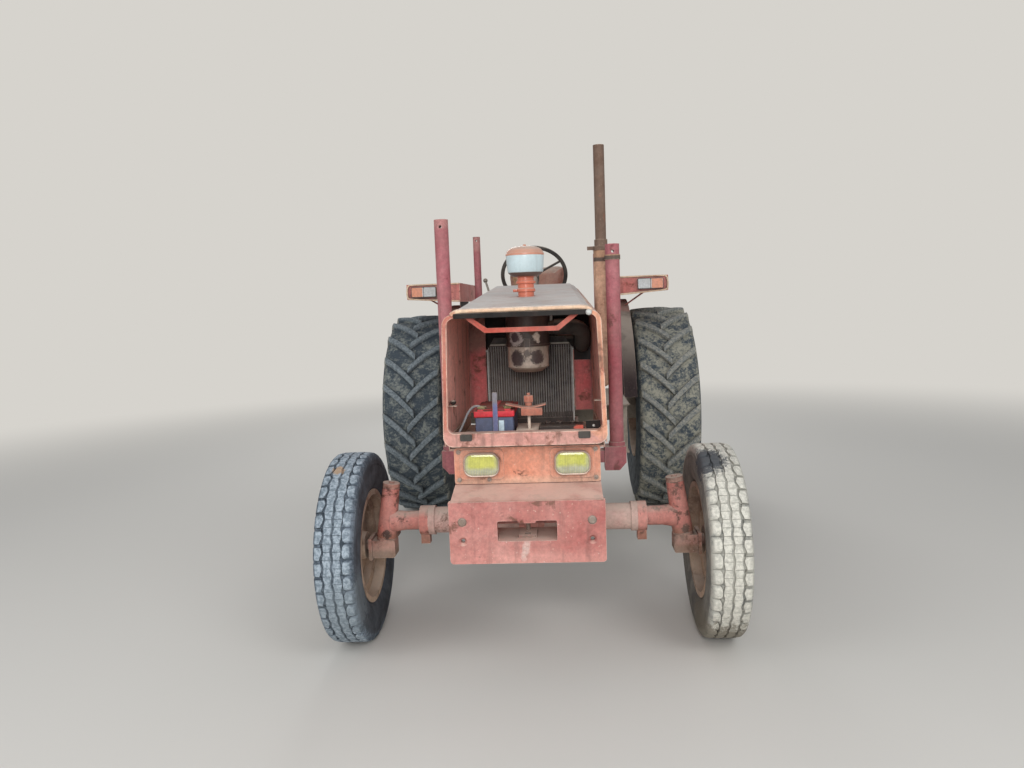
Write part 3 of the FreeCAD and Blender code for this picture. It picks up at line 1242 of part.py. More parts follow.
def lug(side, middle, centre):
    # A slanted bar from just past the tread's middle out to the shoulder,
    # in triangles because its sides twist
    ends = []
    half = LUG_WIDTH / 2
    for x, run, drop in ((-LUG_PAST_CENTRE, 0.0, 0.0), (REAR_TREAD_W / 2 + LUG_REACH, -LUG_RUN, LUG_DROP)):
        top = REAR_TYRE_R - drop
        root = top - LUG_HEIGHT - LUG_ROOT
        corners = []
        for t, r in ((-half, top), (half, top), (half + LUG_SLOPE, root), (-half - LUG_SLOPE, root)):
            turn = middle + math.degrees((run + t) / REAR_TYRE_R)
            corners.append(wheel_point(side * x, r, turn, centre))
        ends.append(corners)
    first, last = ends
    faces = [(first[0], first[1], first[2]), (first[0], first[2], first[3]),
             (last[0], last[1], last[2]), (last[0], last[2], last[3])]
    for i in range(4):
        faces.append((first[i - 1], first[i], last[i]))
        faces.append((first[i - 1], last[i], last[i - 1]))
    return flat_faced(faces)


def rear_tyre():
    centre = Vector(REAR_HALF_TRACK, REAR_AXLE_Y, REAR_TYRE_R)
    ring = carcass(REAR_TYRE_R - LUG_HEIGHT, REAR_TYRE_W, REAR_TREAD_W, REAR_FLANGE_R, REAR_RIM_W, centre,
                   REAR_TYRE_FACETS)
    pitch = 360 / LUG_COUNT
    start = math.degrees(LUG_WIDTH / 2 / REAR_TYRE_R)
    lugs = [lug(side, start + (k + shift) * pitch, centre)
            for k in range(LUG_COUNT) for side, shift in ((1, 0.0), (-1, 0.5))]
    return ring.fuse(lugs).removeSplitter()


def front_tyre():
    centre = Vector(FRONT_HALF_TRACK, FRONT_AXLE_Y, FRONT_TYRE_R)
    return carcass(FRONT_TYRE_R, FRONT_TYRE_W, FRONT_TREAD_W, FRONT_FLANGE_R, FRONT_RIM_W, centre,
                   FRONT_TYRE_FACETS)


def front_rim():
    half = FRONT_RIM_W / 2
    t = RIM_SHEET
    bead = FRONT_FLANGE_R - BEAD_DROP - SEAT_GAP
    well = bead - FRONT_WELL_DROP
    bore = SPINDLE_R + PIN_GAP
    end = FRONT_HUB_END
    profile = [
        (-half, FRONT_FLANGE_R), (-half, bead - t), (-half + 50, bead - t), (-half + 58, well), (12, well),
        (26, 110), (20, 78), (8 - end, 66), (8 - end, bore), (end, bore), (end, HUB_CAP_R), (34, 74),
        (34, 110), (22, well), (half - 58, well), (half - 50, bead - t), (half, bead - t),
        (half, FRONT_FLANGE_R), (half - FLANGE_SHEET, FRONT_FLANGE_R), (half - FLANGE_SHEET, bead),
        (half - 54, bead), (half - 62, well + t), (-half + 62, well + t), (-half + 54, bead),
        (-half + FLANGE_SHEET, bead), (-half + FLANGE_SHEET, FRONT_FLANGE_R),
    ]
    x = FRONT_HALF_TRACK
    disc = turned(profile, (x, FRONT_AXLE_Y, FRONT_TYRE_R), (1, 0, 0))
    cap_side = [(0, 0), (0, HUB_CAP_R), (20, 40), (24, 0)]
    cap = turned(cap_side, (x + end, FRONT_AXLE_Y, FRONT_TYRE_R), (1, 0, 0))
    return disc.fuse(cap).removeSplitter()


def rear_rim():
    half = REAR_RIM_W / 2
    t = RIM_SHEET + 2
    bead = REAR_FLANGE_R - BEAD_DROP - SEAT_GAP
    well = bead - REAR_WELL_DROP
    bore = HUB_SHAFT_R + PIN_GAP
    profile = [
        (-half, REAR_FLANGE_R), (-half, bead - t), (-half + 80, bead - t), (-half + 95, well), (30, well),
        (-20, 190), (-40, 150), (-40, bore), (10, bore), (10, 80), (-26, 90), (-26, 146), (-8, 186),
        (44, well), (half - 95, well), (half - 80, bead - t), (half, bead - t), (half, REAR_FLANGE_R),
        (half - FLANGE_SHEET, REAR_FLANGE_R), (half - FLANGE_SHEET, bead), (half - 86, bead),
        (half - 101, well + t), (-half + 101, well + t), (-half + 86, bead),
        (-half + FLANGE_SHEET, bead), (-half + FLANGE_SHEET, REAR_FLANGE_R),
    ]
    return turned(profile, (REAR_HALF_TRACK, REAR_AXLE_Y, REAR_TYRE_R), (1, 0, 0))


def gearbox():
    front = ENGINE_END_Y + SEAT_GAP
    middle = front + BELL_LENGTH
    sections = []
    for y, half, low, top in ((front, BELL_HALF, BELL_LOW, BELL_TOP),
                              (middle, GEARBOX_HALF, GEARBOX_LOW, GEARBOX_TOP)):
        corners = placed("Y", y, oblong((-half, half), (low, top)))
        sections.append(Part.makePolygon(corners + corners[:1]))
    bell = Part.makeLoft(sections, True, True)
    case = box((-GEARBOX_HALF, GEARBOX_HALF), (middle, CENTRE_Y), (GEARBOX_LOW, GEARBOX_TOP))
    cover_z = (GEARBOX_LOW + 90, GEARBOX_TOP - 90)
    shapes = [bell, case]
    for y in (middle + 60, CENTRE_Y - 330):
        cover = rounded_prism("X", oblong((y, y + 250), cover_z), 40.0, GEARBOX_HALF - 1, GEARBOX_HALF + 14)
        shapes += [cover, mirrored(cover)]
    for y in (middle + 20, (middle + CENTRE_Y) / 2, CENTRE_Y - 30):
        shapes.append(box((-GEARBOX_HALF - 9, GEARBOX_HALF + 9), (y - 8, y + 8),
                          (GEARBOX_LOW + 6, GEARBOX_TOP - 6)))
    return fused(shapes)


def trumpet_r(x):
    # The axle's trumpets narrow outwards
    return TRUMPET_R - (TRUMPET_R - TRUMPET_END_R) * (x - CENTRE_HALF) / (TRUMPET_END - CENTRE_HALF)


def rear_axle():
    y = REAR_AXLE_Y
    centre = box((-CENTRE_HALF, CENTRE_HALF), (CENTRE_Y + SEAT_GAP, CENTRE_END_Y), (CENTRE_LOW, CENTRE_TOP))
    trumpet = cone((CENTRE_HALF, y, AXLE_Z), (TRUMPET_END, y, AXLE_Z), TRUMPET_R, TRUMPET_END_R)
    root = rod((CENTRE_HALF - 1, y, AXLE_Z), (CENTRE_HALF + 26, y, AXLE_Z), TRUMPET_R + TRUMPET_ROOT)
    hub = rod((TRUMPET_END, y, AXLE_Z), (REAR_HALF_TRACK - 40 - PART_GAP, y, AXLE_Z), HUB_R)
    shaft = rod((TRUMPET_END, y, AXLE_Z), (REAR_HALF_TRACK + 30, y, AXLE_Z), HUB_SHAFT_R)
    pto = rod((0, CENTRE_END_Y, PTO_Z), (0, CENTRE_END_Y + PTO_LENGTH, PTO_Z), PTO_R)
    guard_end = CENTRE_END_Y + PTO_LENGTH + 30
    guard_side = [(CENTRE_END_Y, PTO_Z + 90), (guard_end, PTO_Z + 76), (guard_end, PTO_Z + 68),
                  (CENTRE_END_Y, PTO_Z + 82)]
    guard = prism("X", guard_side, -PTO_GUARD_HALF, PTO_GUARD_HALF)
    cover_face = oblong((-150, 150), (CENTRE_LOW + 40, CENTRE_TOP - 60))
    rear_cover = rounded_prism("Y", cover_face, 60.0, CENTRE_END_Y - 1, CENTRE_END_Y + 16)
    lug = box((LINK_X - 50, CENTRE_HALF), (LINK_PIVOT_Y - 40, LINK_PIVOT_Y + 40),
              (LINK_PIVOT_Z - 34, CENTRE_LOW + 20))
    pin = rod((LINK_X - 50, LINK_PIVOT_Y, LINK_PIVOT_Z), (LINK_X + 34, LINK_PIVOT_Y, LINK_PIVOT_Z),
              LINK_PIN_R)
    one_side = fused([trumpet, root, hub, shaft, lug, pin])
    return fused([centre, one_side, mirrored(one_side), pto, guard, rear_cover])


def lift_housing():
    low = CENTRE_TOP + SEAT_GAP
    half = LIFT_COVER_HALF
    outline = [(REAR_AXLE_Y - 150, low), (CENTRE_END_Y - 10, low), (CENTRE_END_Y - 10, LIFT_COVER_TOP - 30),
               (CENTRE_END_Y - 50, LIFT_COVER_TOP), (REAR_AXLE_Y - 60, LIFT_COVER_TOP),
               (REAR_AXLE_Y - 150, low + 60)]
    cover = prism("X", outline, -half, half)
    bore = rod((-half - 1, LIFT_SHAFT_Y, LIFT_SHAFT_Z), (half + 1, LIFT_SHAFT_Y, LIFT_SHAFT_Z),
               LIFT_SHAFT_R + PIN_GAP)
    cheek_half = JAW_OPEN / 2 + JAW_CHEEK
    jaw_z = (CENTRE_TOP + 10, CENTRE_TOP + 115)
    bracket = box((-cheek_half, cheek_half), (CENTRE_END_Y - 10, JAW_Y + 30), jaw_z)
    slot = box((-JAW_OPEN / 2, JAW_OPEN / 2), (CENTRE_END_Y, JAW_Y + 31), (jaw_z[0] - 1, jaw_z[1] + 1))
    hole = rod((-cheek_half - 1, JAW_Y, JAW_Z), (cheek_half + 1, JAW_Y, JAW_Z), TOP_PIN_R)
    return fused([cover.cut(bore), bracket.cut([slot, hole])])


def rear_posts():
    posts = []
    low = AXLE_Z + trumpet_r(REAR_POST_X - 50) + SEAT_GAP + POST_PLATE_THICK
    for side, top in ((1, REAR_POST_TOP_LEFT), (-1, REAR_POST_TOP_RIGHT)):
        x = side * REAR_POST_X
        post = tube((x, REAR_POST_Y, low), (x, REAR_POST_Y, top), REAR_POST_R, REAR_POST_R - POST_WALL)
        hole = rod((x, REAR_POST_Y - 40, top - 30), (x, REAR_POST_Y + 40, top - 30), POST_HOLE_R - 1)
        plate = box((x - 50, x + 50), (REAR_POST_Y - 50, REAR_AXLE_Y + 50), (low - POST_PLATE_THICK, low))
        posts.append(plate.fuse(post.cut(hole)).removeSplitter())
    return Part.makeCompound(posts)


def platform():
    front = BONNET_END_Y + SEAT_GAP
    rear = REAR_AXLE_Y - 300
    half = FENDER_X - SEAT_GAP
    shapes = [box((-half, half), (front, rear), (PLATFORM_Z, PLATFORM_Z + PLATFORM_THICK))]
    for y in (front + 350, rear - 120):
        shapes.append(box((-half, half), (y, y + 60), (GEARBOX_TOP + SEAT_GAP, PLATFORM_Z)))
    # Hanging step on each side: two straps and a tread
    step_y = front + 90
    for side in (1, -1):
        tread = sorted((side * (half - STEP_DEPTH), side * half))
        shapes.append(box(tread, (step_y, step_y + STEP_WIDTH),
                          (PLATFORM_Z - STEP_DROP, PLATFORM_Z - STEP_DROP + 10)))
        for y in (step_y, step_y + STEP_WIDTH - 8):
            strap = sorted((side * (half - 60), side * (half - 10)))
            shapes.append(box(strap, (y, y + 8), (PLATFORM_Z - STEP_DROP, PLATFORM_Z)))
    return fused(shapes)


def fenders():
    centre = (FENDER_X, REAR_AXLE_Y, REAR_TYRE_R)
    disc = rod(centre, (FENDER_X + SHEET, REAR_AXLE_Y, REAR_TYRE_R), FENDER_R)
    lip = tube(centre, (FENDER_X + FENDER_LIP, REAR_AXLE_Y, REAR_TYRE_R), FENDER_R, FENDER_R - SHEET)
    keep = box((FENDER_X - 5, FENDER_X + 100), (REAR_AXLE_Y - FENDER_R - 40, REAR_AXLE_Y + 700),
               (PLATFORM_Z, REAR_TYRE_R + FENDER_R + 53))
    post = box((FENDER_X, FENDER_X + SHEET), (REAR_AXLE_Y - 250, REAR_AXLE_Y + 300),
               (CAP_LOW - 172, CAP_TOP - SHEET - SEAT_GAP))
    return both(fused([disc.fuse(lip).common(keep), post]))


def fender_caps():
    tray = box((CAP_HALF_IN, CAP_HALF_OUT), (CAP_Y, CAP_END_Y), (CAP_LOW, CAP_TOP))
    hollow = box((CAP_HALF_IN + SHEET, CAP_HALF_OUT - SHEET), (CAP_Y + SHEET, CAP_END_Y - SHEET),
                 (CAP_LOW - 1, CAP_TOP - SHEET))
    wedge = [(CAP_HALF_IN, CAP_LOW - 1), (CAP_HALF_OUT + 1, CAP_LOW - 1),
             (CAP_HALF_OUT + 1, CAP_LOW + CAP_SLANT)]
    shell_only = tray.cut([hollow, prism("Y", wedge, CAP_Y - 1, CAP_END_Y + 1)])
    rolled = rod((CAP_HALF_IN + 6, CAP_Y + 4, CAP_LOW + 6),
                 (CAP_HALF_OUT - 6, CAP_Y + 4, CAP_LOW + CAP_SLANT + 4), ROLL_R)
    # A stay from the front edge back to the lip of the fender, one rod radius above it
    stay_y = CAP_Y + STAY_REACH
    lip_z = REAR_TYRE_R + math.sqrt(FENDER_R ** 2 - (REAR_AXLE_Y - stay_y) ** 2)
    stay = rod((CAP_HALF_IN + STAY_IN, CAP_Y + 3, CAP_LOW + 18),
               (FENDER_X + 70, stay_y, lip_z + STAY_R + 3), STAY_R)
    return both(fused([shell_only, rolled, stay]))


def fender_lamps():
    z = (CAP_TOP - 20 - FENDER_LAMP_HEIGHT, CAP_TOP - 20)
    x = (FENDER_LAMP_X - FENDER_LAMP_HALF, FENDER_LAMP_X + FENDER_LAMP_HALF)
    face = CAP_Y - FENDER_LAMP_DEPTH
    shapes = [rounded_prism("Y", oblong(x, z), 8.0, face + 8, CAP_Y - SEAT_GAP)]
    for low, high in ((x[0] + 5, FENDER_LAMP_X - 2), (FENDER_LAMP_X + 2, x[1] - 5)):
        lens = oblong((low, high), (z[0] + 5, z[1] - 5))
        shapes.append(rounded_prism("Y", lens, 6.0, face, face + 9))
    return both(fused(shapes))


def cowl():
    outline = [(COWL_Y, FLOOR_Z), (COWL_END_Y, FLOOR_Z), (COWL_END_Y, DASH_LOW),
               (COWL_END_Y - DASH_SLOPE, COWL_TOP), (COWL_Y, COWL_TOP)]
    body = prism("X", outline, -COWL_HALF, COWL_HALF)
    dial_y = COWL_END_Y - DASH_SLOPE / 2
    dial_z = (DASH_LOW + COWL_TOP) / 2
    lean = Vector(0, COWL_TOP - DASH_LOW, DASH_SLOPE).normalize()
    dials = []
    for x, radius in ((-DIAL_X, DIAL_R), (0, DIAL_R - 16), (DIAL_X, DIAL_R)):
        dials.append(Part.makeCylinder(radius, 8, Vector(x, dial_y, dial_z) - lean, lean))
    return fused([body] + dials)


def steering_line(distance):
    lean = math.radians(COLUMN_ANGLE)
    return (0, WHEEL_CENTRE_Y - distance * math.cos(lean), WHEEL_CENTRE_Z - distance * math.sin(lean))


def steering_column():
    bore = rod(steering_line(55), steering_line(100), STEERING_SHAFT_R + PIN_GAP)
    column = rod(steering_line(60), steering_line(330), COLUMN_R).cut([cowl(), bore])
    lean = math.radians(COLUMN_ANGLE)
    return column.translate(Vector(0, math.cos(lean), math.sin(lean)) * SEAT_GAP)


def steering_wheel():
    lean = math.radians(COLUMN_ANGLE)
    axis = Vector(0, math.cos(lean), math.sin(lean))
    centre = Vector(0, WHEEL_CENTRE_Y, WHEEL_CENTRE_Z)
    across = Vector(1, 0, 0)
    up = axis.cross(across)
    shapes = [
        Part.makeTorus(STEERING_WHEEL_R - STEERING_RIM_R, STEERING_RIM_R, centre, axis),
        Part.makeCylinder(34, 70, centre - axis * 55, axis),
        Part.makeCylinder(STEERING_SHAFT_R, 40, centre - axis * 95, axis),
    ]
    for degrees in (90, 210, 330):
        turn = math.radians(degrees)
        away = across * math.cos(turn) + up * math.sin(turn)
        shapes.append(Part.makeCylinder(8, STEERING_WHEEL_R - STEERING_RIM_R, centre, away))
    return fused(shapes)


def seat_frame():
    base = box((-110, 110), (SEAT_BASE_Y + 20, SEAT_BASE_Y + 270 - SEAT_GAP), (FLOOR_Z, SEAT_LOW - 12))
    pan = box((-200, 200), (SEAT_Y + 20, SEAT_END_Y - 20), (SEAT_LOW - 12, SEAT_LOW - SEAT_GAP))
    return fused([base, pan])


def seat_cushion():
    plan = oblong((-SEAT_HALF, SEAT_HALF), (SEAT_Y, SEAT_END_Y))
    return rounded_prism("Z", plan, 50.0, SEAT_LOW, SEAT_LOW + SEAT_THICK)


def seat_back():
    low = SEAT_LOW + 20
    top = low + BACK_HEIGHT
    side = [(SEAT_END_Y + SEAT_GAP, low), (SEAT_END_Y + 90, low), (SEAT_END_Y + 150, top),
            (SEAT_END_Y + 80, top)]
    block = prism("X", side, -SEAT_HALF, SEAT_HALF)
    front = rounded_prism("Y", oblong((-SEAT_HALF, SEAT_HALF), (low, top)), 60.0, SEAT_END_Y,
                          SEAT_END_Y + 200)
    return block.common(front)


def levers():
    # Two gear levers in front of the seat, and a hand lever at the right of the dash
    y = SEAT_Y - 110
    sticks = []
    for x, lean in ((-LEVER_X, -20), (LEVER_X, 30)):
        top = Vector(x + lean / 2, y + lean, FLOOR_Z + LEVER_HEIGHT)
        foot = rod((x, y, FLOOR_Z), (x, y, FLOOR_Z + 12), 18)
        stick = rod((x, y, FLOOR_Z + 6), top, LEVER_R)
        sticks.append(fused([foot, stick, Part.makeSphere(KNOB_R, top)]))
    x = -COWL_HALF - SEAT_GAP
    z = COWL_TOP - 46
    tip = Vector(x - 46, COWL_END_Y - 40, z + 108)
    boss = rod((x, COWL_END_Y - 80, z), (x - 20, COWL_END_Y - 80, z), 16)
    hand = rod((x - 12, COWL_END_Y - 80, z), tip, 7)
    sticks.append(fused([boss, hand, Part.makeSphere(15, tip)]))
    return Part.makeCompound(sticks)


def pedals():
    y = COWL_END_Y + 40
    top = PLATFORM_Z + PEDAL_HEIGHT
    feet = []
    for x in PEDAL_X:
        foot = rod((x, y, FLOOR_Z), (x, y, FLOOR_Z + 12), 16)
        stem = rod((x, y, FLOOR_Z + 6), (x, y + 20, top), LEVER_R)
        pad = box((x - PEDAL_HALF, x + PEDAL_HALF), (y + 10, y + 30), (top - 30, top + 30))
        feet.append(fused([foot, stem, pad]))
    return Part.makeCompound(feet)


def drawbar():
    bar_z = (DRAWBAR_TOP - DRAWBAR_THICK, DRAWBAR_TOP)
    bar = box((-DRAWBAR_HALF, DRAWBAR_HALF), (REAR_AXLE_Y - 200, DRAWBAR_HOLE_Y + 40), bar_z)
    hanger = box((-60, 60), (REAR_AXLE_Y + 60, REAR_AXLE_Y + 120), (DRAWBAR_TOP, CENTRE_LOW - SEAT_GAP))
    front_foot = box((-50, 50), (REAR_AXLE_Y - 200, REAR_AXLE_Y - 140),
                     (DRAWBAR_TOP, CENTRE_LOW - SEAT_GAP))
    hole = rod((0, DRAWBAR_HOLE_Y, bar_z[0] - 1), (0, DRAWBAR_HOLE_Y, bar_z[1] + 1), DRAWBAR_HOLE_R)
    return fused([bar, hanger, front_foot]).cut(hole)


def arm_tip():
    turn = math.radians(LIFT_ARM_DEG)
    return LIFT_SHAFT_Y + LIFT_ARM * math.cos(turn), LIFT_SHAFT_Z + LIFT_ARM * math.sin(turn)


def link_point(distance):
    # A point of the left lower link's middle line, at rest
    turn = math.radians(LINK_DEG)
    x = LINK_X + (LINK_END_X - LINK_X) * distance / LINK_LENGTH
    return x, LINK_PIVOT_Y + distance * math.cos(turn), LINK_PIVOT_Z + distance * math.sin(turn)


def lift_arms():
    y, z = arm_tip()
    inner = LIFT_X
    outer = LIFT_X + LIFT_ARM_THICK
    side = [(LIFT_SHAFT_Y, LIFT_SHAFT_Z - 36), (y, z - 22), (y, z + 22), (LIFT_SHAFT_Y, LIFT_SHAFT_Z + 36)]
    arm = fused([
        rod((inner, LIFT_SHAFT_Y, LIFT_SHAFT_Z), (outer, LIFT_SHAFT_Y, LIFT_SHAFT_Z), 45),
        rod((inner, y, z), (outer, y, z), 26),
        prism("X", side, inner, outer),
    ])
    shaft = rod((-LIFT_X - 1, LIFT_SHAFT_Y, LIFT_SHAFT_Z), (LIFT_X + 1, LIFT_SHAFT_Y, LIFT_SHAFT_Z),
                LIFT_SHAFT_R)
    eye = rod((inner - 1, y, z), (outer + 1, y, z), LIFT_PIN_R + PIN_GAP)
    return fused([arm.cut(eye), mirrored(arm.cut(eye)), shaft])


def lower_links():
    z = LINK_PIVOT_Z
    pivot = Vector(0, LINK_PIVOT_Y, z)
    half = LINK_THICK / 2
    splay = (LINK_END_X - LINK_X) / LINK_LENGTH
    start_y = LINK_PIVOT_Y + 20
    end_y = LINK_PIVOT_Y + LINK_LENGTH
    bar = prism(
        "Z",
        [(LINK_X - half, start_y), (LINK_X + half, start_y - half * splay),
         (LINK_END_X + half, end_y - 20), (LINK_END_X - half, end_y - 20 + half * splay)],
        z - LINK_HEIGHT / 2, z + LINK_HEIGHT / 2,
    )
    eye = tube((LINK_X - 13, LINK_PIVOT_Y, z), (LINK_X + 13, LINK_PIVOT_Y, z), 34, LINK_PIN_R + PIN_GAP)
    bar = bar.cut(rod((LINK_X - 40, LINK_PIVOT_Y, z), (LINK_X + 40, LINK_PIVOT_Y, z), 20))
    ball = rod((LINK_END_X - 22, end_y, z), (LINK_END_X + 22, end_y, z), LINK_BALL_R)
    bore = rod((LINK_END_X - 40, end_y, z), (LINK_END_X + 40, end_y, z), LINK_BORE_R)
    link = fused([bar, eye, ball]).cut(bore)
    return both(link.rotate(pivot, Vector(1, 0, 0), LINK_DEG))


def lift_rods():
    # Each rod hangs from a pin in the arm's tip, and its lower fork straddles the lower link
    y, z = arm_tip()
    low = Vector(*link_point(LIFT_ROD_AT))
    high = Vector(LIFT_X + LIFT_ARM_THICK / 2, y, z)
    up = (high - low).normalize()
    top_bar = high - up * 62
    inner = (LIFT_X - FORK_GAP - FORK_CHEEK, LIFT_X - FORK_GAP)
    outer = (LIFT_X + LIFT_ARM_THICK + FORK_GAP, LIFT_X + LIFT_ARM_THICK + FORK_GAP + FORK_CHEEK)
    cheek = [(y - 18, z + 18), (y + 18, z + 18), (top_bar.y + 16, top_bar.z - 14),
             (top_bar.y - 16, top_bar.z - 14)]
    shapes = [
        rod((inner[0] - 4, y, z), (outer[1] + 4, y, z), LIFT_PIN_R),
        prism("X", cheek, *inner),
        prism("X", cheek, *outer),
        box((inner[0], outer[1]), (top_bar.y - 16, top_bar.y + 16), (top_bar.z - 24, top_bar.z - 8)),
    ]
    half = LINK_THICK / 2 + SLIP_GAP
    foot = low + up * 66
    reach = half + FORK_CHEEK
    shapes.append(box((low.x - reach, low.x + reach), (foot.y - 18, foot.y + 18), (foot.z, foot.z + 16)))
    for side in (1, -1):
        fork = sorted((low.x + side * half, low.x + side * reach))
        boss = sorted((low.x + side * half, low.x + side * (reach + 8)))
        shapes.append(box(fork, (low.y - 20, low.y + 20), (low.z - 22, foot.z + 10)))
        shapes.append(rod((boss[0], low.y, low.z), (boss[1], low.y, low.z), 16))
    shapes.append(Part.makeCylinder(13, (top_bar - foot).Length - 10, foot + up * 5, up))
    shapes.append(Part.makeCylinder(20, 150, foot + up * 120, up))
    return both(fused(shapes))


NODES = {
    "front_plate": front_plate,
    "front_support": front_support,
    "lamp_panel": lamp_panel,
    "head_lamps": head_lamps,
    "nose": nose,
    "bonnet": bonnet,
    "side_panels": side_panels,
    "nose_brace": nose_brace,
    "buffers": buffers,
    "battery_tray": battery_tray,
    "battery": battery,
    "battery_clamp": battery_clamp,
    "control_box": control_box,
    "radiator": radiator,
    "air_cleaner": air_cleaner,
    "air_pipe": air_pipe,
    "precleaner": precleaner,
    "fan_drive": fan_drive,
    "engine": engine,
    "alternator": alternator,
    "injection_pump": injection_pump,
    "fuel_filters": fuel_filters,
    "starter": starter,
    "manifolds": manifolds,
    "exhaust": exhaust,
    "front_posts": front_posts,
    "post_brackets": post_brackets,
    "axle_beam": axle_beam,
    "axle_arms": axle_arms,
    "knuckle_left": knuckle,
    "knuckle_right": lambda: mirrored(knuckle()),
    "tie_rod": tie_rod,
    "front_tyre_left": front_tyre,
    "front_tyre_right": lambda: mirrored(front_tyre()),
    "front_rim_left": front_rim,
    "front_rim_right": lambda: mirrored(front_rim()),
    "gearbox": gearbox,
    "rear_axle": rear_axle,
    "rear_tyre_left": rear_tyre,
    "rear_tyre_right": lambda: mirrored(rear_tyre()),
    "rear_rim_left": rear_rim,
    "rear_rim_right": lambda: mirrored(rear_rim()),
    "lift_housing": lift_housing,
    "lift_arms": lift_arms,
    "lift_rods": lift_rods,
    "lower_links": lower_links,
    "drawbar": drawbar,
    "rear_posts": rear_posts,
    "platform": platform,
    "fenders": fenders,
    "fender_caps": fender_caps,
    "fender_lamps": fender_lamps,
    "cowl": cowl,
    "steering_column": steering_column,
    "steering_wheel": steering_wheel,
    "seat_frame": seat_frame,
    "seat_cushion": seat_cushion,
    "seat_back": seat_back,
    "levers": levers,
    "pedals": pedals,
}

os.makedirs("parts", exist_ok=True)
for name, make in NODES.items():
    shape = make()
    size = shape.BoundBox
    corners = (size.XMin, size.XMax, size.YMin, size.YMax, size.ZMin, size.ZMax)
    print(name, len(shape.Solids), shape.isValid(), round(shape.Volume / 1e6, 2),
          [round(v) for v in corners])
    shape.exportStep("parts/" + name + ".step")
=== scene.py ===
import json
import math

import bmesh
import bpy
from mathutils import Matrix, Vector


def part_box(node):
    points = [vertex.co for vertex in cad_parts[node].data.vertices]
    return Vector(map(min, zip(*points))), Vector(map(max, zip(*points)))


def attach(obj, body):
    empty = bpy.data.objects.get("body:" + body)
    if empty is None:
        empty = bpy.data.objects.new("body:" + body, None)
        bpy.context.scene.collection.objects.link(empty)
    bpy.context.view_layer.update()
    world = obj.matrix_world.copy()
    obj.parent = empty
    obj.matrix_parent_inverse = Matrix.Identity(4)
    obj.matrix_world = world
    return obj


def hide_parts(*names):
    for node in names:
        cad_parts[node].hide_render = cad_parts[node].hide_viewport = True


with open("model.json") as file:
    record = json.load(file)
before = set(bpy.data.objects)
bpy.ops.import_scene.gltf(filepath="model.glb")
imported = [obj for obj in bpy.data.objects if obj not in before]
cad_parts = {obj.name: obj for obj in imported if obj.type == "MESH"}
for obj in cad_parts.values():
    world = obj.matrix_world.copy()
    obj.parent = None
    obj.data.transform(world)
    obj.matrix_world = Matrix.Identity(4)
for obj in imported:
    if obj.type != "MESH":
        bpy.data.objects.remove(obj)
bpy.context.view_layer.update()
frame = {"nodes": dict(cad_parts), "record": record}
print("frame loaded:", len(frame["nodes"]), "nodes")


# Colours are written as they look on screen, 0 to 255
def paint(red, green, blue):
    parts = [v / 255 for v in (red, green, blue)]
    return [v / 12.92 if v <= 0.04045 else ((v + 0.055) / 1.055) ** 2.4 for v in parts] + [1.0]


# Shader helpers
def addNode(tree, kind, values=None, **settings):
    made = tree.nodes.new("ShaderNode" + kind)
    for key, value in settings.items():
        setattr(made, key, value)
    for key, value in (values or {}).items():
        if isinstance(value, bpy.types.NodeSocket):
            tree.links.new(value, made.inputs[key])
        else:
            made.inputs[key].default_value = value
    return made


def noise(tree, coords, scale, detail=5.0, rough=0.6, twist=0.0):
    values = {"Vector": coords, "Scale": scale, "Detail": detail, "Roughness": rough, "Distortion": twist}
    return addNode(tree, "TexNoise", values).outputs["Fac"]


def span(tree, value, low, high, first=0.0, last=1.0):
    values = {"Value": value, "From Min": low, "From Max": high, "To Min": first, "To Max": last}
    return addNode(tree, "MapRange", values, interpolation_type="SMOOTHSTEP").outputs["Result"]


def maths(tree, operation, first, second=0.0):
    return addNode(tree, "Math", {0: first, 1: second}, operation=operation).outputs[0]


def times(tree, first, second):
    return maths(tree, "MULTIPLY", first, second)


def vectorMaths(tree, operation, first, second, output=0):
    return addNode(tree, "VectorMath", {0: first, 1: second}, operation=operation).outputs[output]


def mixed(tree, share, first, second):
    # Either colour is a socket, or three numbers as they look on screen
    first, second = (paint(*colour) if isinstance(colour, tuple) else colour for colour in (first, second))
    return addNode(tree, "Mix", {0: share, 6: first, 7: second}, data_type="RGBA").outputs[2]


def newMaterial(name):
    material = bpy.data.materials.new(name)
    material.use_nodes = True
    tree = material.node_tree
    return material, tree, tree.nodes["Principled BSDF"]


def seenDirectly(tree):
    # The camera, and mirrors and glass, see the plain backdrop. It lights nothing
    path = addNode(tree, "LightPath").outputs
    shiny = maths(tree, "MAXIMUM", path["Is Glossy Ray"], path["Is Transmission Ray"])
    return maths(tree, "MAXIMUM", path["Is Camera Ray"], shiny)


# Camera and studio
viewpoint = {
    "place": (0.1676, -5.286, 1.650),
    "ahead": (-0.0635, 0.9927, -0.1024),
    "up": (0.0316, 0.1046, 0.994),
    "lens": 27.73,
    "sensor": 36.0,
    "farClip": 200,
}
studio = {
    "floorColour": paint(214, 211, 205),
    "floorSize": 60.0,
    "floorRough": 0.9,
    "fadesFrom": 4.5,        # the floor fades into the plain backdrop between these distances
    "fadesTo": 11.0,
    "skyColour": (0.93, 0.96, 1.0, 1.0),
    "skyStrength": 0.42,
    "lamps": [
        # name, place, aims at, size, watts
        ("keyLamp", (3.4, -5.8, 4.6), (0.0, -0.6, 1.0), 3.2, 100),
        ("fillLamp", (-4.4, -4.2, 3.4), (0.0, -0.4, 0.9), 3.6, 55),
        ("frontLamp", (0.1, -9.0, 3.2), (0.0, -1.2, 1.1), 3.4, 285),
        ("backLamp", (-1.0, 6.0, 4.6), (0.0, 0.6, 1.2), 3.4, 130),
    ],
}


def aimed(direction, up):
    back = -Vector(direction).normalized()
    side = Vector(up).cross(back).normalized()
    return Matrix((side, back.cross(side), back)).transposed()


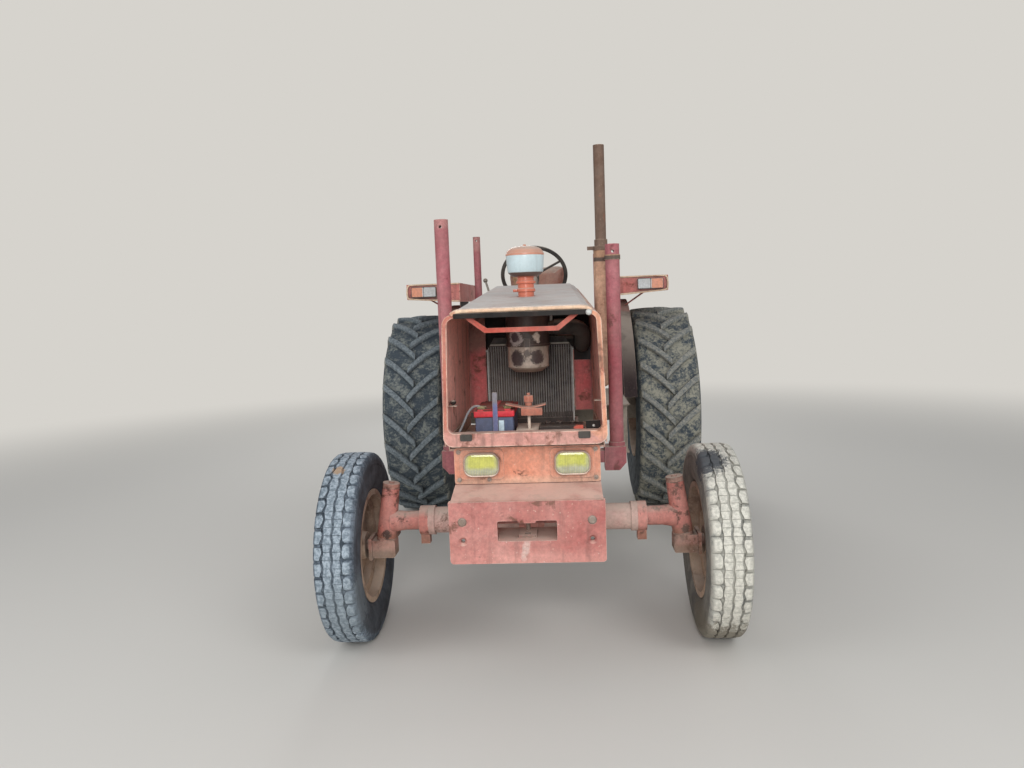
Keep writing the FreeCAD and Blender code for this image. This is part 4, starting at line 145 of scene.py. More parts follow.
def placed(name, data):
    held = bpy.data.objects.new(name, data)
    bpy.context.collection.objects.link(held)
    return held


def makeStudio():
    camera = placed("camera", bpy.data.cameras.new("camera"))
    camera.matrix_world = Matrix.Translation(viewpoint["place"]) @ aimed(viewpoint["ahead"], viewpoint["up"]).to_4x4()
    camera.data.sensor_width = viewpoint["sensor"]
    camera.data.lens = viewpoint["lens"]
    camera.data.clip_end = viewpoint["farClip"]
    bpy.context.scene.camera = camera
    for name, place, target, size, watts in studio["lamps"]:
        lamp = bpy.data.lights.new(name, "AREA")
        lamp.shape = "DISK"
        lamp.size = size
        lamp.energy = watts
        aim = aimed(Vector(target) - Vector(place), (0, 0, 1)).to_4x4()
        placed(name, lamp).matrix_world = Matrix.Translation(place) @ aim
    world = bpy.data.worlds.new("studio")
    world.use_nodes = True
    tree = world.node_tree
    sky = tree.nodes["Background"]
    sky.inputs["Color"].default_value = studio["skyColour"]
    sky.inputs["Strength"].default_value = studio["skyStrength"]
    plain = addNode(tree, "Background", {"Color": studio["floorColour"], "Strength": 1.0})
    seen = addNode(tree, "MixShader", {0: seenDirectly(tree), 1: sky.outputs[0], 2: plain.outputs[0]})
    tree.links.new(seen.outputs[0], tree.nodes["World Output"].inputs["Surface"])
    bpy.context.scene.world = world
    bpy.context.scene.view_settings.view_transform = "Standard"
    mesh = bmesh.new()
    bmesh.ops.create_grid(mesh, x_segments=1, y_segments=1, size=studio["floorSize"] / 2)
    data = bpy.data.meshes.new("floor")
    mesh.to_mesh(data)
    mesh.free()
    floor = placed("floor", data)
    ground, tree, shader = newMaterial("floor")
    shader.inputs["Base Color"].default_value = studio["floorColour"]
    shader.inputs["Roughness"].default_value = studio["floorRough"]
    away = addNode(tree, "VectorMath", {0: addNode(tree, "TexCoord").outputs["Object"]}, operation="LENGTH")
    far = span(tree, away.outputs["Value"], studio["fadesFrom"], studio["fadesTo"])
    plain = addNode(tree, "Emission", {"Color": studio["floorColour"], "Strength": 1.0})
    share = times(tree, far, seenDirectly(tree))
    seen = addNode(tree, "MixShader", {0: share, 1: shader.outputs[0], 2: plain.outputs[0]})
    tree.links.new(seen.outputs[0], tree.nodes["Material Output"].inputs["Surface"])
    data.materials.append(ground)


makeStudio()
print("studio ready")


# Paint, rust and dust on one surface. Every look starts from these values
plainLook = {
    "paint": (184, 112, 104),
    "faded": (202, 146, 136),
    "fadeScale": 3.2,
    "fadeRange": (0.38, 0.66),
    "spots": 0.10,          # small light and dark mottling
    "spotScale": 55.0,
    "worn": (222, 204, 190),
    "wornRange": (0.05, 0.30),
    "wornWidth": 0.006,
    "wornAmount": 0.7,
    "wornPatch": (0.35, 0.60),   # how much of the edges is worn
    "rust": (92, 54, 40),
    "rustScale": 9.0,
    "rustRange": (0.58, 0.66),
    "rustAmount": 0.85,
    "dust": (196, 182, 168),
    "dustRange": (0.25, 0.95),   # how level a surface is before dust lies on it
    "dustAmount": 0.75,
    "film": 0.12,           # dust everywhere
    "filmScale": 6.0,
    "rough": 0.62,
    "metal": 0.0,
    "coat": 0.0,
    "shine": 0.3,           # strength of the plain reflection
    "bump": 0.25,
    "bumpScale": 90.0,
    "specks": 0.25,         # chips the size of a fingernail
    "speckScale": 120.0,
    "streaks": 0.35,        # dirt run down upright faces
    "cornerShade": 0.55,          # painted shade in corners
    # colour of the dirt runs and of the painted shade in corners
    "dirtAndShadeColour": (70, 54, 50),
    "bands": [],            # axis, place, softness, colour, amount: another colour past a height or side
    "stripes": [],          # axis, pitch, share of the pitch, colour, amount, lowest and highest Z
    "innerPaintedLight": None,         # painted light on the faces that look to the middle, as colour and amount: pale for a lit look, dark for painted shade
    "patches": [],          # centre, reach, colour, amount
}
# Noise of each layer: scale where the look has none, detail, roughness, distortion
grain = {
    "ragged": (34.0, 9.0, 0.85, 0.8),     # outline of the patches
    "wander": (9.0, 5.0, 0.7),            # outline of the bands
    "patchy": (28.0, 6.0, 0.75),          # where the edges are worn
    "runs": (1.0, 6.0, 0.62),
    "fade": (6.0, 0.62, 0.4),
    "rust": (9.0, 0.68, 0.35),
    "chips": (3.0, 0.6),
    "drift": (7.0, 0.65, 0.2),
    "fine": (6.0, 0.7),                   # mottling and bump
    "rubber": (6.0, 0.72),
    "broad": (7.0, 0.7, 0.3),
}
# Where each layer begins and is full, and other values that all surfaces share
layer = {
    "ragged": 2.6,                        # how far a patch's outline strays, times its reach
    "patchEdge": (0.75, 1.1),             # times its reach
    "wander": 3,                          # how far a band's edge strays, times its softness
    "stripeEdge": (0.35, 0.6),            # times the stripe's share
    "inward": (-0.6, -0.2),
    "mottle": (0.25, 0.75),
    "rustAtEdges": 0.05,
    "chips": (0.66, 0.70),
    "runStretch": (26.0, 26.0, 2.2),
    "runs": (0.5, 0.72),
    "cornerReach": 0.07,
    "corner": (0.25, 0.85),
    "drift": (0.3, 0.62),
    "leastLying": 0.55,
    "dullest": 0.93,
    "rustBump": 0.6,
    "bumpDepth": 0.004,
    "samples": 4,                         # of the worn edges and the corners
}


def bumpy(tree, shader, strength, height):
    made = addNode(tree, "Bump", {"Strength": strength, "Distance": layer["bumpDepth"], "Height": height})
    tree.links.new(made.outputs[0], shader.inputs["Normal"])


def cornerShaded(tree, base, look, reach, full):
    # Painted shade in the corners: darker where ambient occlusion finds them closed in, in the dirt colour
    corner = addNode(tree, "AmbientOcclusion", {"Distance": reach}, samples=layer["samples"]).outputs["AO"]
    return mixed(tree, span(tree, corner, *full, look["cornerShade"], 0.0), base, look["dirtAndShadeColour"])


def patched(tree, base, coords, patches):
    # Ragged spots of another colour
    if not patches:
        return base
    ragged = maths(tree, "SUBTRACT", noise(tree, coords, *grain["ragged"]), 0.5)
    near, far = layer["patchEdge"]
    for centre, reach, colour, amount in patches:
        away = vectorMaths(tree, "DISTANCE", coords, centre, "Value")
        away = maths(tree, "ADD", away, times(tree, ragged, reach * layer["ragged"]))
        base = mixed(tree, span(tree, away, reach * near, reach * far, amount, 0.0), base, colour)
    return base


def banded(tree, base, coords, sides, bands):
    # Another colour past a height or side
    for axis, where, soft, colour, amount in bands:
        stray = maths(tree, "SUBTRACT", noise(tree, coords, *grain["wander"]), 0.5)
        side = maths(tree, "ABSOLUTE", sides[0]) if axis == "W" else sides["XYZ".index(axis)]
        shifted = maths(tree, "ADD", side, times(tree, stray, soft * layer["wander"]))
        # A negative softness colours what lies before the place
        first, last = (0.0, amount) if soft > 0 else (amount, 0.0)
        base = mixed(tree, span(tree, shifted, where - abs(soft), where + abs(soft), first, last), base, colour)
    return base


def striped(tree, base, sides, stripes):
    inner, outer = layer["stripeEdge"]
    for axis, pitch, share, colour, amount, low, high in stripes:
        phase = maths(tree, "FRACT", maths(tree, "DIVIDE", sides["XYZ".index(axis)], pitch))
        away = maths(tree, "ABSOLUTE", maths(tree, "SUBTRACT", phase, 0.5))
        within = times(tree, maths(tree, "GREATER_THAN", sides[2], low), maths(tree, "LESS_THAN", sides[2], high))
        line = times(tree, span(tree, away, share * inner, share * outer, amount, 0.0), within)
        base = mixed(tree, line, base, colour)
    return base


def weathered(name, changes):
    look = dict(plainLook, **changes)
    material, tree, shader = newMaterial(name)
    place = addNode(tree, "TexCoord")
    coords, normal = place.outputs["Object"], place.outputs["Normal"]
    base = mixed(tree, span(tree, noise(tree, coords, look["fadeScale"], *grain["fade"]), *look["fadeRange"]),
                 look["paint"], look["faded"])
    sides = addNode(tree, "SeparateXYZ", {0: coords}).outputs
    base = banded(tree, base, coords, sides, look["bands"])
    base = striped(tree, base, sides, look["stripes"])
    # Painted light on the faces that look to the middle: paler where they should look lit, darker where they should
    # look shaded
    if look["innerPaintedLight"]:
        colour, amount = look["innerPaintedLight"]
        inward = times(tree, addNode(tree, "SeparateXYZ", {0: normal}).outputs[0], maths(tree, "SIGN", sides[0]))
        base = mixed(tree, span(tree, inward, *layer["inward"], amount, 0.0), base, colour)
    base = patched(tree, base, coords, look["patches"])
    mottle = noise(tree, coords, look["spotScale"], *grain["fine"])
    lightness = span(tree, mottle, *layer["mottle"], 1 - look["spots"] * 2, 1 + look["spots"] * 2)
    base = addNode(tree, "HueSaturation", {"Value": lightness, "Color": base}).outputs[0]
    bevelled = addNode(tree, "Bevel", {"Radius": look["wornWidth"]}, samples=layer["samples"]).outputs[0]
    along = vectorMaths(tree, "DOT_PRODUCT", bevelled, addNode(tree, "NewGeometry").outputs["Normal"], "Value")
    patchy = span(tree, noise(tree, coords, *grain["patchy"]), *look["wornPatch"])
    edge = times(tree, span(tree, maths(tree, "SUBTRACT", 1.0, along), *look["wornRange"]), patchy)
    base = mixed(tree, times(tree, edge, look["wornAmount"]), base, look["worn"])
    rusty = noise(tree, coords, look["rustScale"], *grain["rust"])
    rusty = maths(tree, "ADD", rusty, times(tree, edge, layer["rustAtEdges"]))
    rust = span(tree, rusty, *look["rustRange"])
    base = mixed(tree, times(tree, rust, look["rustAmount"]), base, look["rust"])
    chips = span(tree, noise(tree, coords, look["speckScale"], *grain["chips"]), *layer["chips"])
    base = mixed(tree, times(tree, chips, look["specks"]), base, look["worn"])
    drawn = vectorMaths(tree, "MULTIPLY", coords, layer["runStretch"])
    runs = span(tree, noise(tree, drawn, *grain["runs"]), *layer["runs"], 0.0, look["streaks"])
    # Dirt runs down upright faces, then painted shade in the corners
    base = cornerShaded(tree, mixed(tree, runs, base, look["dirtAndShadeColour"]), look, layer["cornerReach"], layer["corner"])
    level = span(tree, addNode(tree, "SeparateXYZ", {0: normal}).outputs[2], *look["dustRange"])
    drift = span(tree, noise(tree, coords, look["filmScale"], *grain["drift"]), *layer["drift"])
    lying = times(tree, times(tree, level, look["dustAmount"]), span(tree, drift, 0, 1, layer["leastLying"], 1))
    dust = maths(tree, "MAXIMUM", lying, times(tree, drift, look["film"]))
    tree.links.new(mixed(tree, dust, base, look["dust"]), shader.inputs["Base Color"])
    dull = max(look["rough"], layer["dullest"])
    roughness = span(tree, maths(tree, "MAXIMUM", dust, rust), 0, 1, look["rough"], dull)
    tree.links.new(roughness, shader.inputs["Roughness"])
    shader.inputs["Metallic"].default_value = look["metal"]
    shader.inputs["Coat Weight"].default_value = look["coat"]
    shader.inputs["Specular IOR Level"].default_value = look["shine"]
    fine = noise(tree, coords, look["bumpScale"], *grain["fine"])
    bumpy(tree, shader, look["bump"], maths(tree, "ADD", fine, times(tree, rust, layer["rustBump"])))
    return material


# Rubber of a tyre, its colours placed by the distance from the axle
plainRubber = {
    "axle": (1.080, 0.787),      # Y and Z
    "groove": 0.752,             # radius of the grooves' floor and of the bars' faces
    "face": 0.772,
    "shoulder": 0.715,           # below this is the sidewall
    "faceColour": (92, 100, 106),
    "faceLight": (128, 136, 140),
    "grooveColour": (70, 79, 87),
    "grooveDust": (140, 138, 126),
    "grooveDustRange": (0.46, 0.60),
    "dustScale": 8.0,
    "wallColour": (68, 75, 80),
    "wallLight": (100, 106, 110),
    "ringBump": 0.0,
    "spotScale": 60.0,
    "halfTrack": 0.935,
    "endRange": (0.188, 0.206),  # out from the tread's middle: the bars' ends are paler
    "endColour": (172, 168, 154),
    "endAmount": 0.75,
    # painted shade in the grooves and corners, darker where ambient occlusion finds them closed in
    "cornerShade": 0.45,
    "dirtAndShadeColour": (38, 40, 42),
    "cornerReach": 0.05,
    "corner": (0.3, 0.9),
    "rough": 0.9,
    "shine": 0.25,
    "bump": 0.45,
    "ringPitch": 1150.0,         # radians in a metre
    "wallSpots": (0.36, 0.64),
    "faceSpots": (0.38, 0.62),
    "endSpots": (0.36, 0.56),
    "dustShares": (0.55, 0.45),  # of the broad noise and of the spots
    "shoulderEdge": (0.012, 0.006),
    "wallEdge": (0.02, 0.005),
    "patches": [],               # centre, reach, colour, amount
}


def tyreRubber(name, changes):
    look = dict(plainRubber, **changes)
    material, tree, shader = newMaterial(name)
    coords = addNode(tree, "TexCoord").outputs["Object"]
    off = vectorMaths(tree, "SUBTRACT", coords, (0, *look["axle"]))
    flat = vectorMaths(tree, "MULTIPLY", off, (0, 1, 1))
    radius = addNode(tree, "VectorMath", {0: flat}, operation="LENGTH").outputs["Value"]
    spots = noise(tree, coords, look["spotScale"], *grain["rubber"])
    broad = noise(tree, coords, look["dustScale"], *grain["broad"])
    base = mixed(tree, span(tree, broad, *look["wallSpots"]), look["wallColour"], look["wallLight"])
    dusty = maths(tree, "ADD", *(times(tree, *pair) for pair in zip((broad, spots), look["dustShares"])))
    groove = mixed(tree, span(tree, dusty, *look["grooveDustRange"]), look["grooveColour"], look["grooveDust"])
    shoulder, (below, above) = look["shoulder"], look["shoulderEdge"]
    base = mixed(tree, span(tree, radius, shoulder - below, shoulder + above), base, groove)
    face = mixed(tree, span(tree, spots, *look["faceSpots"]), look["faceColour"], look["faceLight"])
    base = mixed(tree, span(tree, radius, look["groove"], look["face"]), base, face)
    away = maths(tree, "ABSOLUTE", addNode(tree, "SeparateXYZ", {0: coords}).outputs[0])
    out = maths(tree, "ABSOLUTE", maths(tree, "SUBTRACT", away, look["halfTrack"]))
    ends = times(tree, span(tree, out, *look["endRange"]), span(tree, radius, shoulder, look["groove"]))
    ends = times(tree, ends, span(tree, spots, *look["endSpots"], 0.0, look["endAmount"]))
    base = patched(tree, mixed(tree, ends, base, look["endColour"]), coords, look["patches"])
    base = cornerShaded(tree, base, look, look["cornerReach"], look["corner"])
    tree.links.new(base, shader.inputs["Base Color"])
    shader.inputs["Roughness"].default_value = look["rough"]
    shader.inputs["Specular IOR Level"].default_value = look["shine"]
    rings = times(tree, maths(tree, "SINE", times(tree, radius, look["ringPitch"])), look["ringBump"])
    far, near = look["wallEdge"]
    wall = span(tree, radius, shoulder - far, shoulder - near, 1.0, 0.0)
    bumpy(tree, shader, look["bump"], maths(tree, "ADD", times(tree, rings, wall), spots))
    return material


# What each finish changes in the base look
weatheredLooks = {
    "plateRed": dict(
        paint=(172, 100, 94), faded=(192, 132, 124), specks=0.6, speckScale=95.0, dust=(230, 198, 182),
        bands=[("Z", 0.838, 0.010, (220, 178, 156), 0.5), ("Z", 0.60, -0.03, (212, 150, 140), 0.5)],
        patches=[((0.000, -2.03, 0.636), 0.014, (218, 200, 190), 0.35),
            ((-0.004, -2.03, 0.618), 0.018, (218, 200, 190), 0.4),
            ((-0.009, -2.03, 0.601), 0.018, (218, 200, 190), 0.4),
            ((-0.014, -2.03, 0.584), 0.016, (218, 200, 190), 0.35),
            ((-0.018, -2.03, 0.568), 0.014, (218, 200, 190), 0.3),
            ((-0.055, -1.925, 0.675), 0.092, (128, 112, 100), 0.85),
            ((0.055, -1.925, 0.675), 0.092, (128, 112, 100), 0.85)]),
    "castRed": dict(paint=(184, 112, 102), faded=(202, 140, 130), streaks=0.45),
    "panelRed": dict(
        paint=(214, 140, 112), faded=(224, 164, 140), specks=0.4, bands=[("Z", 0.875, -0.02, (226, 184, 158), 0.7)]),
    "axleDust": dict(paint=(184, 138, 130), faded=(196, 162, 152), film=0.35, streaks=0.3),
    "kingpinRed": dict(
        paint=(188, 108, 98), faded=(200, 134, 124), streaks=0.4, rust=(76, 46, 38), rustScale=13.0,
        rustRange=(0.55, 0.62),
        patches=[((-0.722, -1.53, 0.533), 0.030, (48, 38, 36), 0.9),
            ((-0.692, -1.53, 0.745), 0.022, (58, 42, 38), 0.85), ((0.706, -1.53, 0.745), 0.022, (58, 42, 38), 0.85),
            ((0.749, -1.53, 0.530), 0.028, (60, 48, 42), 0.85)],
        bands=[("Z", 0.535, -0.03, (128, 88, 66), 0.75)]),
    "knuckleRust": dict(
        paint=(160, 108, 96), faded=(178, 132, 118), film=0.3, bands=[("Z", 0.45, -0.015, (112, 86, 66), 0.8)],
        rustRange=(0.5, 0.6)),
    # The pale colour on the nose's inner walls is painted light, as if the mouth were lit from the front
    "noseSheet": dict(
        paint=(180, 94, 78), faded=(194, 124, 106), worn=(240, 220, 198), wornWidth=0.008, wornAmount=0.95,
        wornRange=(0.02, 0.16), wornPatch=(0.12, 0.36),
        patches=[((0.345, -1.925, z), 0.075, (230, 166, 130), 0.6) for z in (1.12, 1.27, 1.42, 1.56)],
        rust=(118, 70, 52), rustRange=(0.56, 0.66), streaks=0.5, innerPaintedLight=((248, 182, 168), 0.9),
        bands=[("Z", 1.645, 0.006, (226, 196, 166), 0.75), ("Z", 1.10, -0.03, (206, 156, 146), 0.7)]),
    "sheetRed": dict(
        paint=(172, 92, 84), faded=(188, 118, 108), worn=(220, 200, 182), rustRange=(0.60, 0.70), streaks=0.5),
    # The fenders' inner faces and all below 1.56 m are near black: painted shade under the fenders
    "fenderRed": dict(
        paint=(160, 84, 82), faded=(174, 106, 100), worn=(212, 192, 176), streaks=0.2, film=0.03, shine=0.1,
        innerPaintedLight=((38, 35, 38), 0.94), bands=[("Z", 1.56, -0.02, (36, 33, 36), 0.97)]),
    "capRed": dict(
        paint=(188, 104, 98), faded=(200, 128, 120), worn=(232, 208, 186), wornAmount=0.95, wornWidth=0.010,
        streaks=0.4,
        patches=[((-0.70, 0.50, 1.69), 0.085, (96, 56, 52), 0.8), ((-0.86, 0.50, 1.69), 0.085, (96, 56, 52), 0.8)]),
    "braceRed": dict(paint=(172, 66, 52), faded=(186, 86, 70), worn=(214, 146, 124), wornWidth=0.004),
    "postRed": dict(
        paint=(160, 84, 92), faded=(180, 112, 118), rustRange=(0.57, 0.68), rust=(112, 60, 60), streaks=0.35,
        bands=[("Z", 2.06, 0.015, (188, 136, 130), 0.6)]),
    "hoodTan": dict(
        paint=(172, 142, 130), faded=(182, 160, 150), dust=(198, 194, 190), dustAmount=0.9, film=0.35,
        worn=(236, 226, 208), wornWidth=0.014, wornAmount=0.95, wornRange=(0.03, 0.2), specks=0.3,
        patches=[((0.0, -1.27, 1.72), 0.10, (188, 96, 70), 0.6)]),
    "innerRed": dict(
        paint=(160, 92, 84), faded=(144, 90, 80), film=0.3, streaks=0.5, rust=(80, 50, 40), rustRange=(0.5, 0.62),
        dust=(176, 154, 138)),
    "trayDust": dict(paint=(172, 124, 108), faded=(182, 144, 128), dust=(206, 188, 170), dustAmount=0.95, film=0.4),
    "blackRubber": dict(
        shine=0.2, paint=(40, 40, 40), faded=(54, 54, 52), rustAmount=0.0, wornAmount=0.0, film=0.1, rough=0.8,
        specks=0.0, streaks=0.0),
    "batteryCase": dict(
        paint=(72, 82, 108), faded=(86, 98, 124), rustAmount=0.0, wornAmount=0.2,
        bands=[("Z", 1.1385, 0.0006, (206, 50, 62), 1.0)], rough=0.5, specks=0.1, streaks=0.3, dust=(128, 104, 92),
        dustAmount=0.92),
    "strapBlue": dict(
        paint=(94, 100, 142), faded=(108, 114, 150), rustAmount=0.1, bands=[("Z", 1.20, 0.01, (120, 118, 124), 0.9)],
        rough=0.55, specks=0.15),
    "leadGrey": dict(
        paint=(120, 124, 130), faded=(140, 140, 142), rustAmount=0.1, wornAmount=0.0, rough=0.6, specks=0.0),
    "terminalLead": dict(paint=(150, 138, 84), faded=(128, 118, 84), metal=0.3, rustAmount=0.3, rough=0.6),
    "blankLabel": dict(
        paint=(202, 222, 230), faded=(186, 206, 216), rustAmount=0.0, wornAmount=0.0, film=0.1, specks=0.0,
        rough=0.4),
    "boardDust": dict(
        paint=(226, 206, 188), faded=(234, 218, 200), rustAmount=0.2, dust=(222, 206, 188), film=0.4, wornAmount=0.3),
    # Near black: the wall catch's own colour, and painted shade on the strip under the bonnet's lip and on the sheets
    # behind the radiator
    "blackAndShade": dict(
        paint=(28, 27, 28), faded=(36, 35, 35), rustAmount=0.1, film=0.03, shine=0.1, wornAmount=0.0, specks=0.0),
    "baffleRed": dict(
        paint=(206, 96, 96), faded=(190, 100, 98), rust=(92, 62, 50), rustRange=(0.54, 0.66), streaks=0.4,
        dust=(170, 146, 134),
        bands=[("Z", 1.40, 0.03, (130, 98, 86), 0.8), ("W", 0.325, 0.012, (150, 126, 112), 0.8)]),
    "controlBlack": dict(
        shine=0.15, paint=(38, 32, 31), faded=(48, 38, 36), rust=(168, 66, 50), rustRange=(0.60, 0.63), film=0.04,
        dustAmount=0.12, rough=0.6, specks=0.05, streaks=0.1,
        patches=[((0.248, -1.812, 1.078), 0.034, (214, 96, 78), 0.95),
            ((0.228, -1.812, 1.040), 0.022, (206, 92, 74), 0.9),
            ((0.190, -1.812, 1.050), 0.020, (150, 66, 54), 0.8)]),
    "rustySteel": dict(
        paint=(132, 88, 70), faded=(150, 110, 92), rust=(98, 58, 44), rustRange=(0.5, 0.62), worn=(176, 156, 142),
        wornAmount=0.4, rough=0.8),
    "radiatorBlack": dict(
        paint=(38, 36, 38), faded=(54, 50, 52), rustAmount=0.3, rust=(92, 74, 56), worn=(150, 142, 132), film=0.14,
        rough=0.8, shine=0.15, streaks=0.15, cornerShade=0.25, specks=0.3,
        stripes=[("X", 0.0125, 0.24, (176, 176, 176), 0.8, 1.06, 1.42),
            ("Z", 0.0060, 0.45, (44, 40, 38), 0.35, 1.06, 1.42)],
        bands=[("W", 0.222, 0.0012, (198, 202, 198), 0.9), ("Z", 1.424, 0.002, (178, 172, 160), 0.9),
            ("Z", 1.432, 0.002, (48, 50, 52), 1.0)]),
    "cleanerBlack": dict(
        shine=0.5, paint=(52, 44, 46), faded=(72, 58, 58), rust=(120, 92, 78), rustAmount=0.5, film=0.15, rough=0.45,
        worn=(176, 158, 142), specks=0.1, dust=(150, 132, 110),
        bands=[("Z", 1.428, -0.001, (206, 192, 176), 0.85), ("Z", 1.316, -0.006, (130, 100, 84), 0.7)],
        patches=[((-0.056, -1.363, 1.372), 0.044, (52, 44, 54), 0.96),
            ((0.050, -1.366, 1.374), 0.040, (60, 50, 56), 0.94), ((-0.004, -1.388, 1.392), 0.026, (70, 58, 58), 0.85),
            ((-0.058, -1.36, 1.472), 0.042, (208, 200, 196), 0.8),
            ((-0.060, -1.36, 1.478), 0.027, (58, 46, 62), 0.95),
            ((0.046, -1.372, 1.474), 0.022, (226, 216, 200), 0.9),
            ((0.058, -1.37, 1.458), 0.015, (226, 216, 200), 0.85)]),
    "oilyBlack": dict(paint=(42, 38, 36), faded=(58, 50, 46), rustAmount=0.25, film=0.12, rough=0.5),
    "bowlPlastic": dict(
        paint=(204, 222, 226), faded=(190, 208, 212), rustAmount=0.0, wornAmount=0.0, rough=0.35, specks=0.0,
        streaks=0.12, cornerShade=0.2, coat=0.2, spots=0.03, film=0.05,
        bands=[("Z", 1.8835, 0.0015, (204, 140, 116), 1.0), ("Z", 1.799, -0.0015, (92, 70, 64), 1.0),
            ("Z", 1.778, -0.0015, (206, 112, 86), 1.0)]),
    "engineGrey": dict(paint=(88, 86, 86), faded=(106, 100, 96), rustRange=(0.54, 0.68), rustAmount=0.5, cornerShade=0.8),
    "exhaustRust": dict(
        paint=(216, 176, 148), faded=(196, 152, 126), rust=(140, 90, 70), rustRange=(0.57, 0.68),
        worn=(214, 190, 166), rough=0.85, streaks=0.45,
        bands=[("Z", 1.858, 0.004, (66, 56, 52), 0.95), ("Z", 1.880, 0.004, (184, 140, 108), 0.9),
            ("Z", 1.918, 0.004, (98, 76, 64), 0.95)]),
    "dustySteel": dict(paint=(128, 120, 110), faded=(150, 140, 126), rustAmount=0.3, film=0.3, cornerShade=0.7),
    "lampCase": dict(
        paint=(200, 204, 206), faded=(184, 186, 186), rustAmount=0.0, wornAmount=0.0, rough=0.2, film=0.1, specks=0.0,
        streaks=0.15, coat=0.5, cornerShade=0.8, stripes=[("X", 0.006, 0.3, (150, 150, 150), 0.35, 0.0, 3.0)],
        bands=[("W", 0.832, 0.002, (222, 140, 104), 1.0), ("Y", 0.4822, 0.0006, (30, 28, 28), 1.0)]),
    "lampGlass": dict(
        paint=(198, 200, 84), faded=(184, 188, 82), rustAmount=0.0, wornAmount=0.0, rough=0.12, film=0.1, bump=0.05,
        coat=0.8, specks=0.0, streaks=0.25, cornerShade=0.7, dustAmount=0.2,
        stripes=[("X", 0.0075, 0.35, (226, 226, 110), 0.28, 0.0, 3.0)],
        bands=[("Z", 0.926, -0.012, (158, 162, 152), 0.9), ("W", 0.258, 0.010, (168, 170, 150), 0.7),
            ("W", 0.140, -0.008, (168, 170, 150), 0.5)]),
    "lampRim": dict(
        paint=(186, 170, 156), faded=(170, 140, 122), rustAmount=0.5, rough=0.35, metal=0.3, worn=(210, 206, 196)),
    "seatCover": dict(
        paint=(136, 84, 70), faded=(152, 104, 86), rustAmount=0.0, wornAmount=0.3, rough=0.5, film=0.2, specks=0.15,
        bumpScale=240.0, patches=[((-0.10, 1.0, 1.86), 0.09, (190, 164, 84), 0.8)]),
    "bareSteel": dict(paint=(126, 122, 116), faded=(108, 100, 92), metal=0.6, rustAmount=0.4, rough=0.45),
    "boltSteel": dict(paint=(150, 138, 128), faded=(126, 104, 92), rustAmount=0.5, rough=0.5, metal=0.3, specks=0.1),
    "whiteKnob": dict(
        paint=(206, 210, 206), faded=(190, 194, 190), rustAmount=0.1, wornAmount=0.0, rough=0.4, specks=0.1),
    "clampRust": dict(
        paint=(176, 98, 78), faded=(188, 120, 98), rust=(128, 76, 60), rustRange=(0.54, 0.66), rough=0.85, film=0.2),
    "rimPale": dict(
        paint=(232, 206, 176), faded=(222, 184, 154), rust=(188, 116, 90), rustRange=(0.54, 0.66), rustAmount=0.7,
        specks=0.2, streaks=0.2),
    "dialDark": dict(
        paint=(34, 36, 38), faded=(44, 46, 48), rustAmount=0.0, wornAmount=0.0, rough=0.25, film=0.15, specks=0.0,
        streaks=0.0, cornerShade=0.2, coat=0.4),
    "rimTan": dict(
        paint=(168, 142, 122), faded=(146, 120, 102), rust=(104, 76, 62), rustRange=(0.5, 0.64), film=0.3, rough=0.85,
        worn=(220, 202, 180), wornWidth=0.010, bands=[("Z", 0.44, -0.05, (196, 166, 138), 0.7)]),
}
rubberLooks = {
    "frontTyreGrey": dict(
        axle=(-1.470, 0.466), endAmount=0.0, groove=0.457, face=0.463, shoulder=0.432, faceColour=(116, 128, 138),
        faceLight=(168, 180, 190), grooveColour=(78, 88, 98), grooveDust=(124, 136, 148), cornerShade=0.3,
        wallColour=(62, 64, 70), wallLight=(86, 92, 100), ringBump=0.5,
        patches=[((-0.905, -1.66, 0.885), 0.032, (176, 150, 124), 0.9),
            ((-0.84, -1.86, 0.30), 0.16, (128, 138, 144), 0.45)]),
    "frontTyrePale": dict(
        axle=(-1.470, 0.466), endAmount=0.0, groove=0.4565, face=0.4635, shoulder=0.432, faceColour=(186, 184, 174),
        faceLight=(218, 215, 204), grooveColour=(128, 130, 128), grooveDust=(186, 184, 174), cornerShade=0.35,
        grooveDustRange=(0.36, 0.54), wallColour=(104, 102, 98), wallLight=(136, 132, 124), ringBump=0.4,
        # The near-black first patch at the top of the inner shoulder is painted shade where the sunlight ends
        patches=[((0.800, -1.66, 0.92), 0.12, (70, 74, 80), 0.95), ((0.86, -1.66, 0.02), 0.24, (120, 112, 98), 0.8)]),
    "rearTyreDusty": dict(
        grooveDustRange=(0.42, 0.58), grooveDust=(160, 158, 144), faceColour=(108, 114, 116),
        faceLight=(158, 156, 146), dustScale=14.0),
    "rearTyreBlack": dict(
        grooveDustRange=(0.46, 0.62), grooveDust=(142, 146, 140), faceColour=(96, 106, 112),
        faceLight=(136, 144, 148), dustScale=14.0),
}
finishes = {name: weathered(name, changes) for name, changes in weatheredLooks.items()}
finishes.update({name: tyreRubber(name, changes) for name, changes in rubberLooks.items()})
slotFinish = {
    "faded_red": "castRed", "post_red": "postRed", "hood_paint": "hoodTan", "inner_red": "innerRed",
    "lamp_glass": "lampGlass", "black_rubber": "blackRubber", "battery_case": "batteryCase",
    "rusty_steel": "rustySteel", "radiator_black": "radiatorBlack", "black_paint": "oilyBlack",
    "bowl_plastic": "bowlPlastic", "engine_paint": "engineGrey", "exhaust_rust": "exhaustRust",
    "tyre_front": "frontTyreGrey", "tyre_rear": "rearTyreBlack", "rim_rust": "rimTan", "dusty_steel": "dustySteel",
    "clear_lens": "lampCase", "seat_cover": "seatCover", "steel": "bareSteel",
}
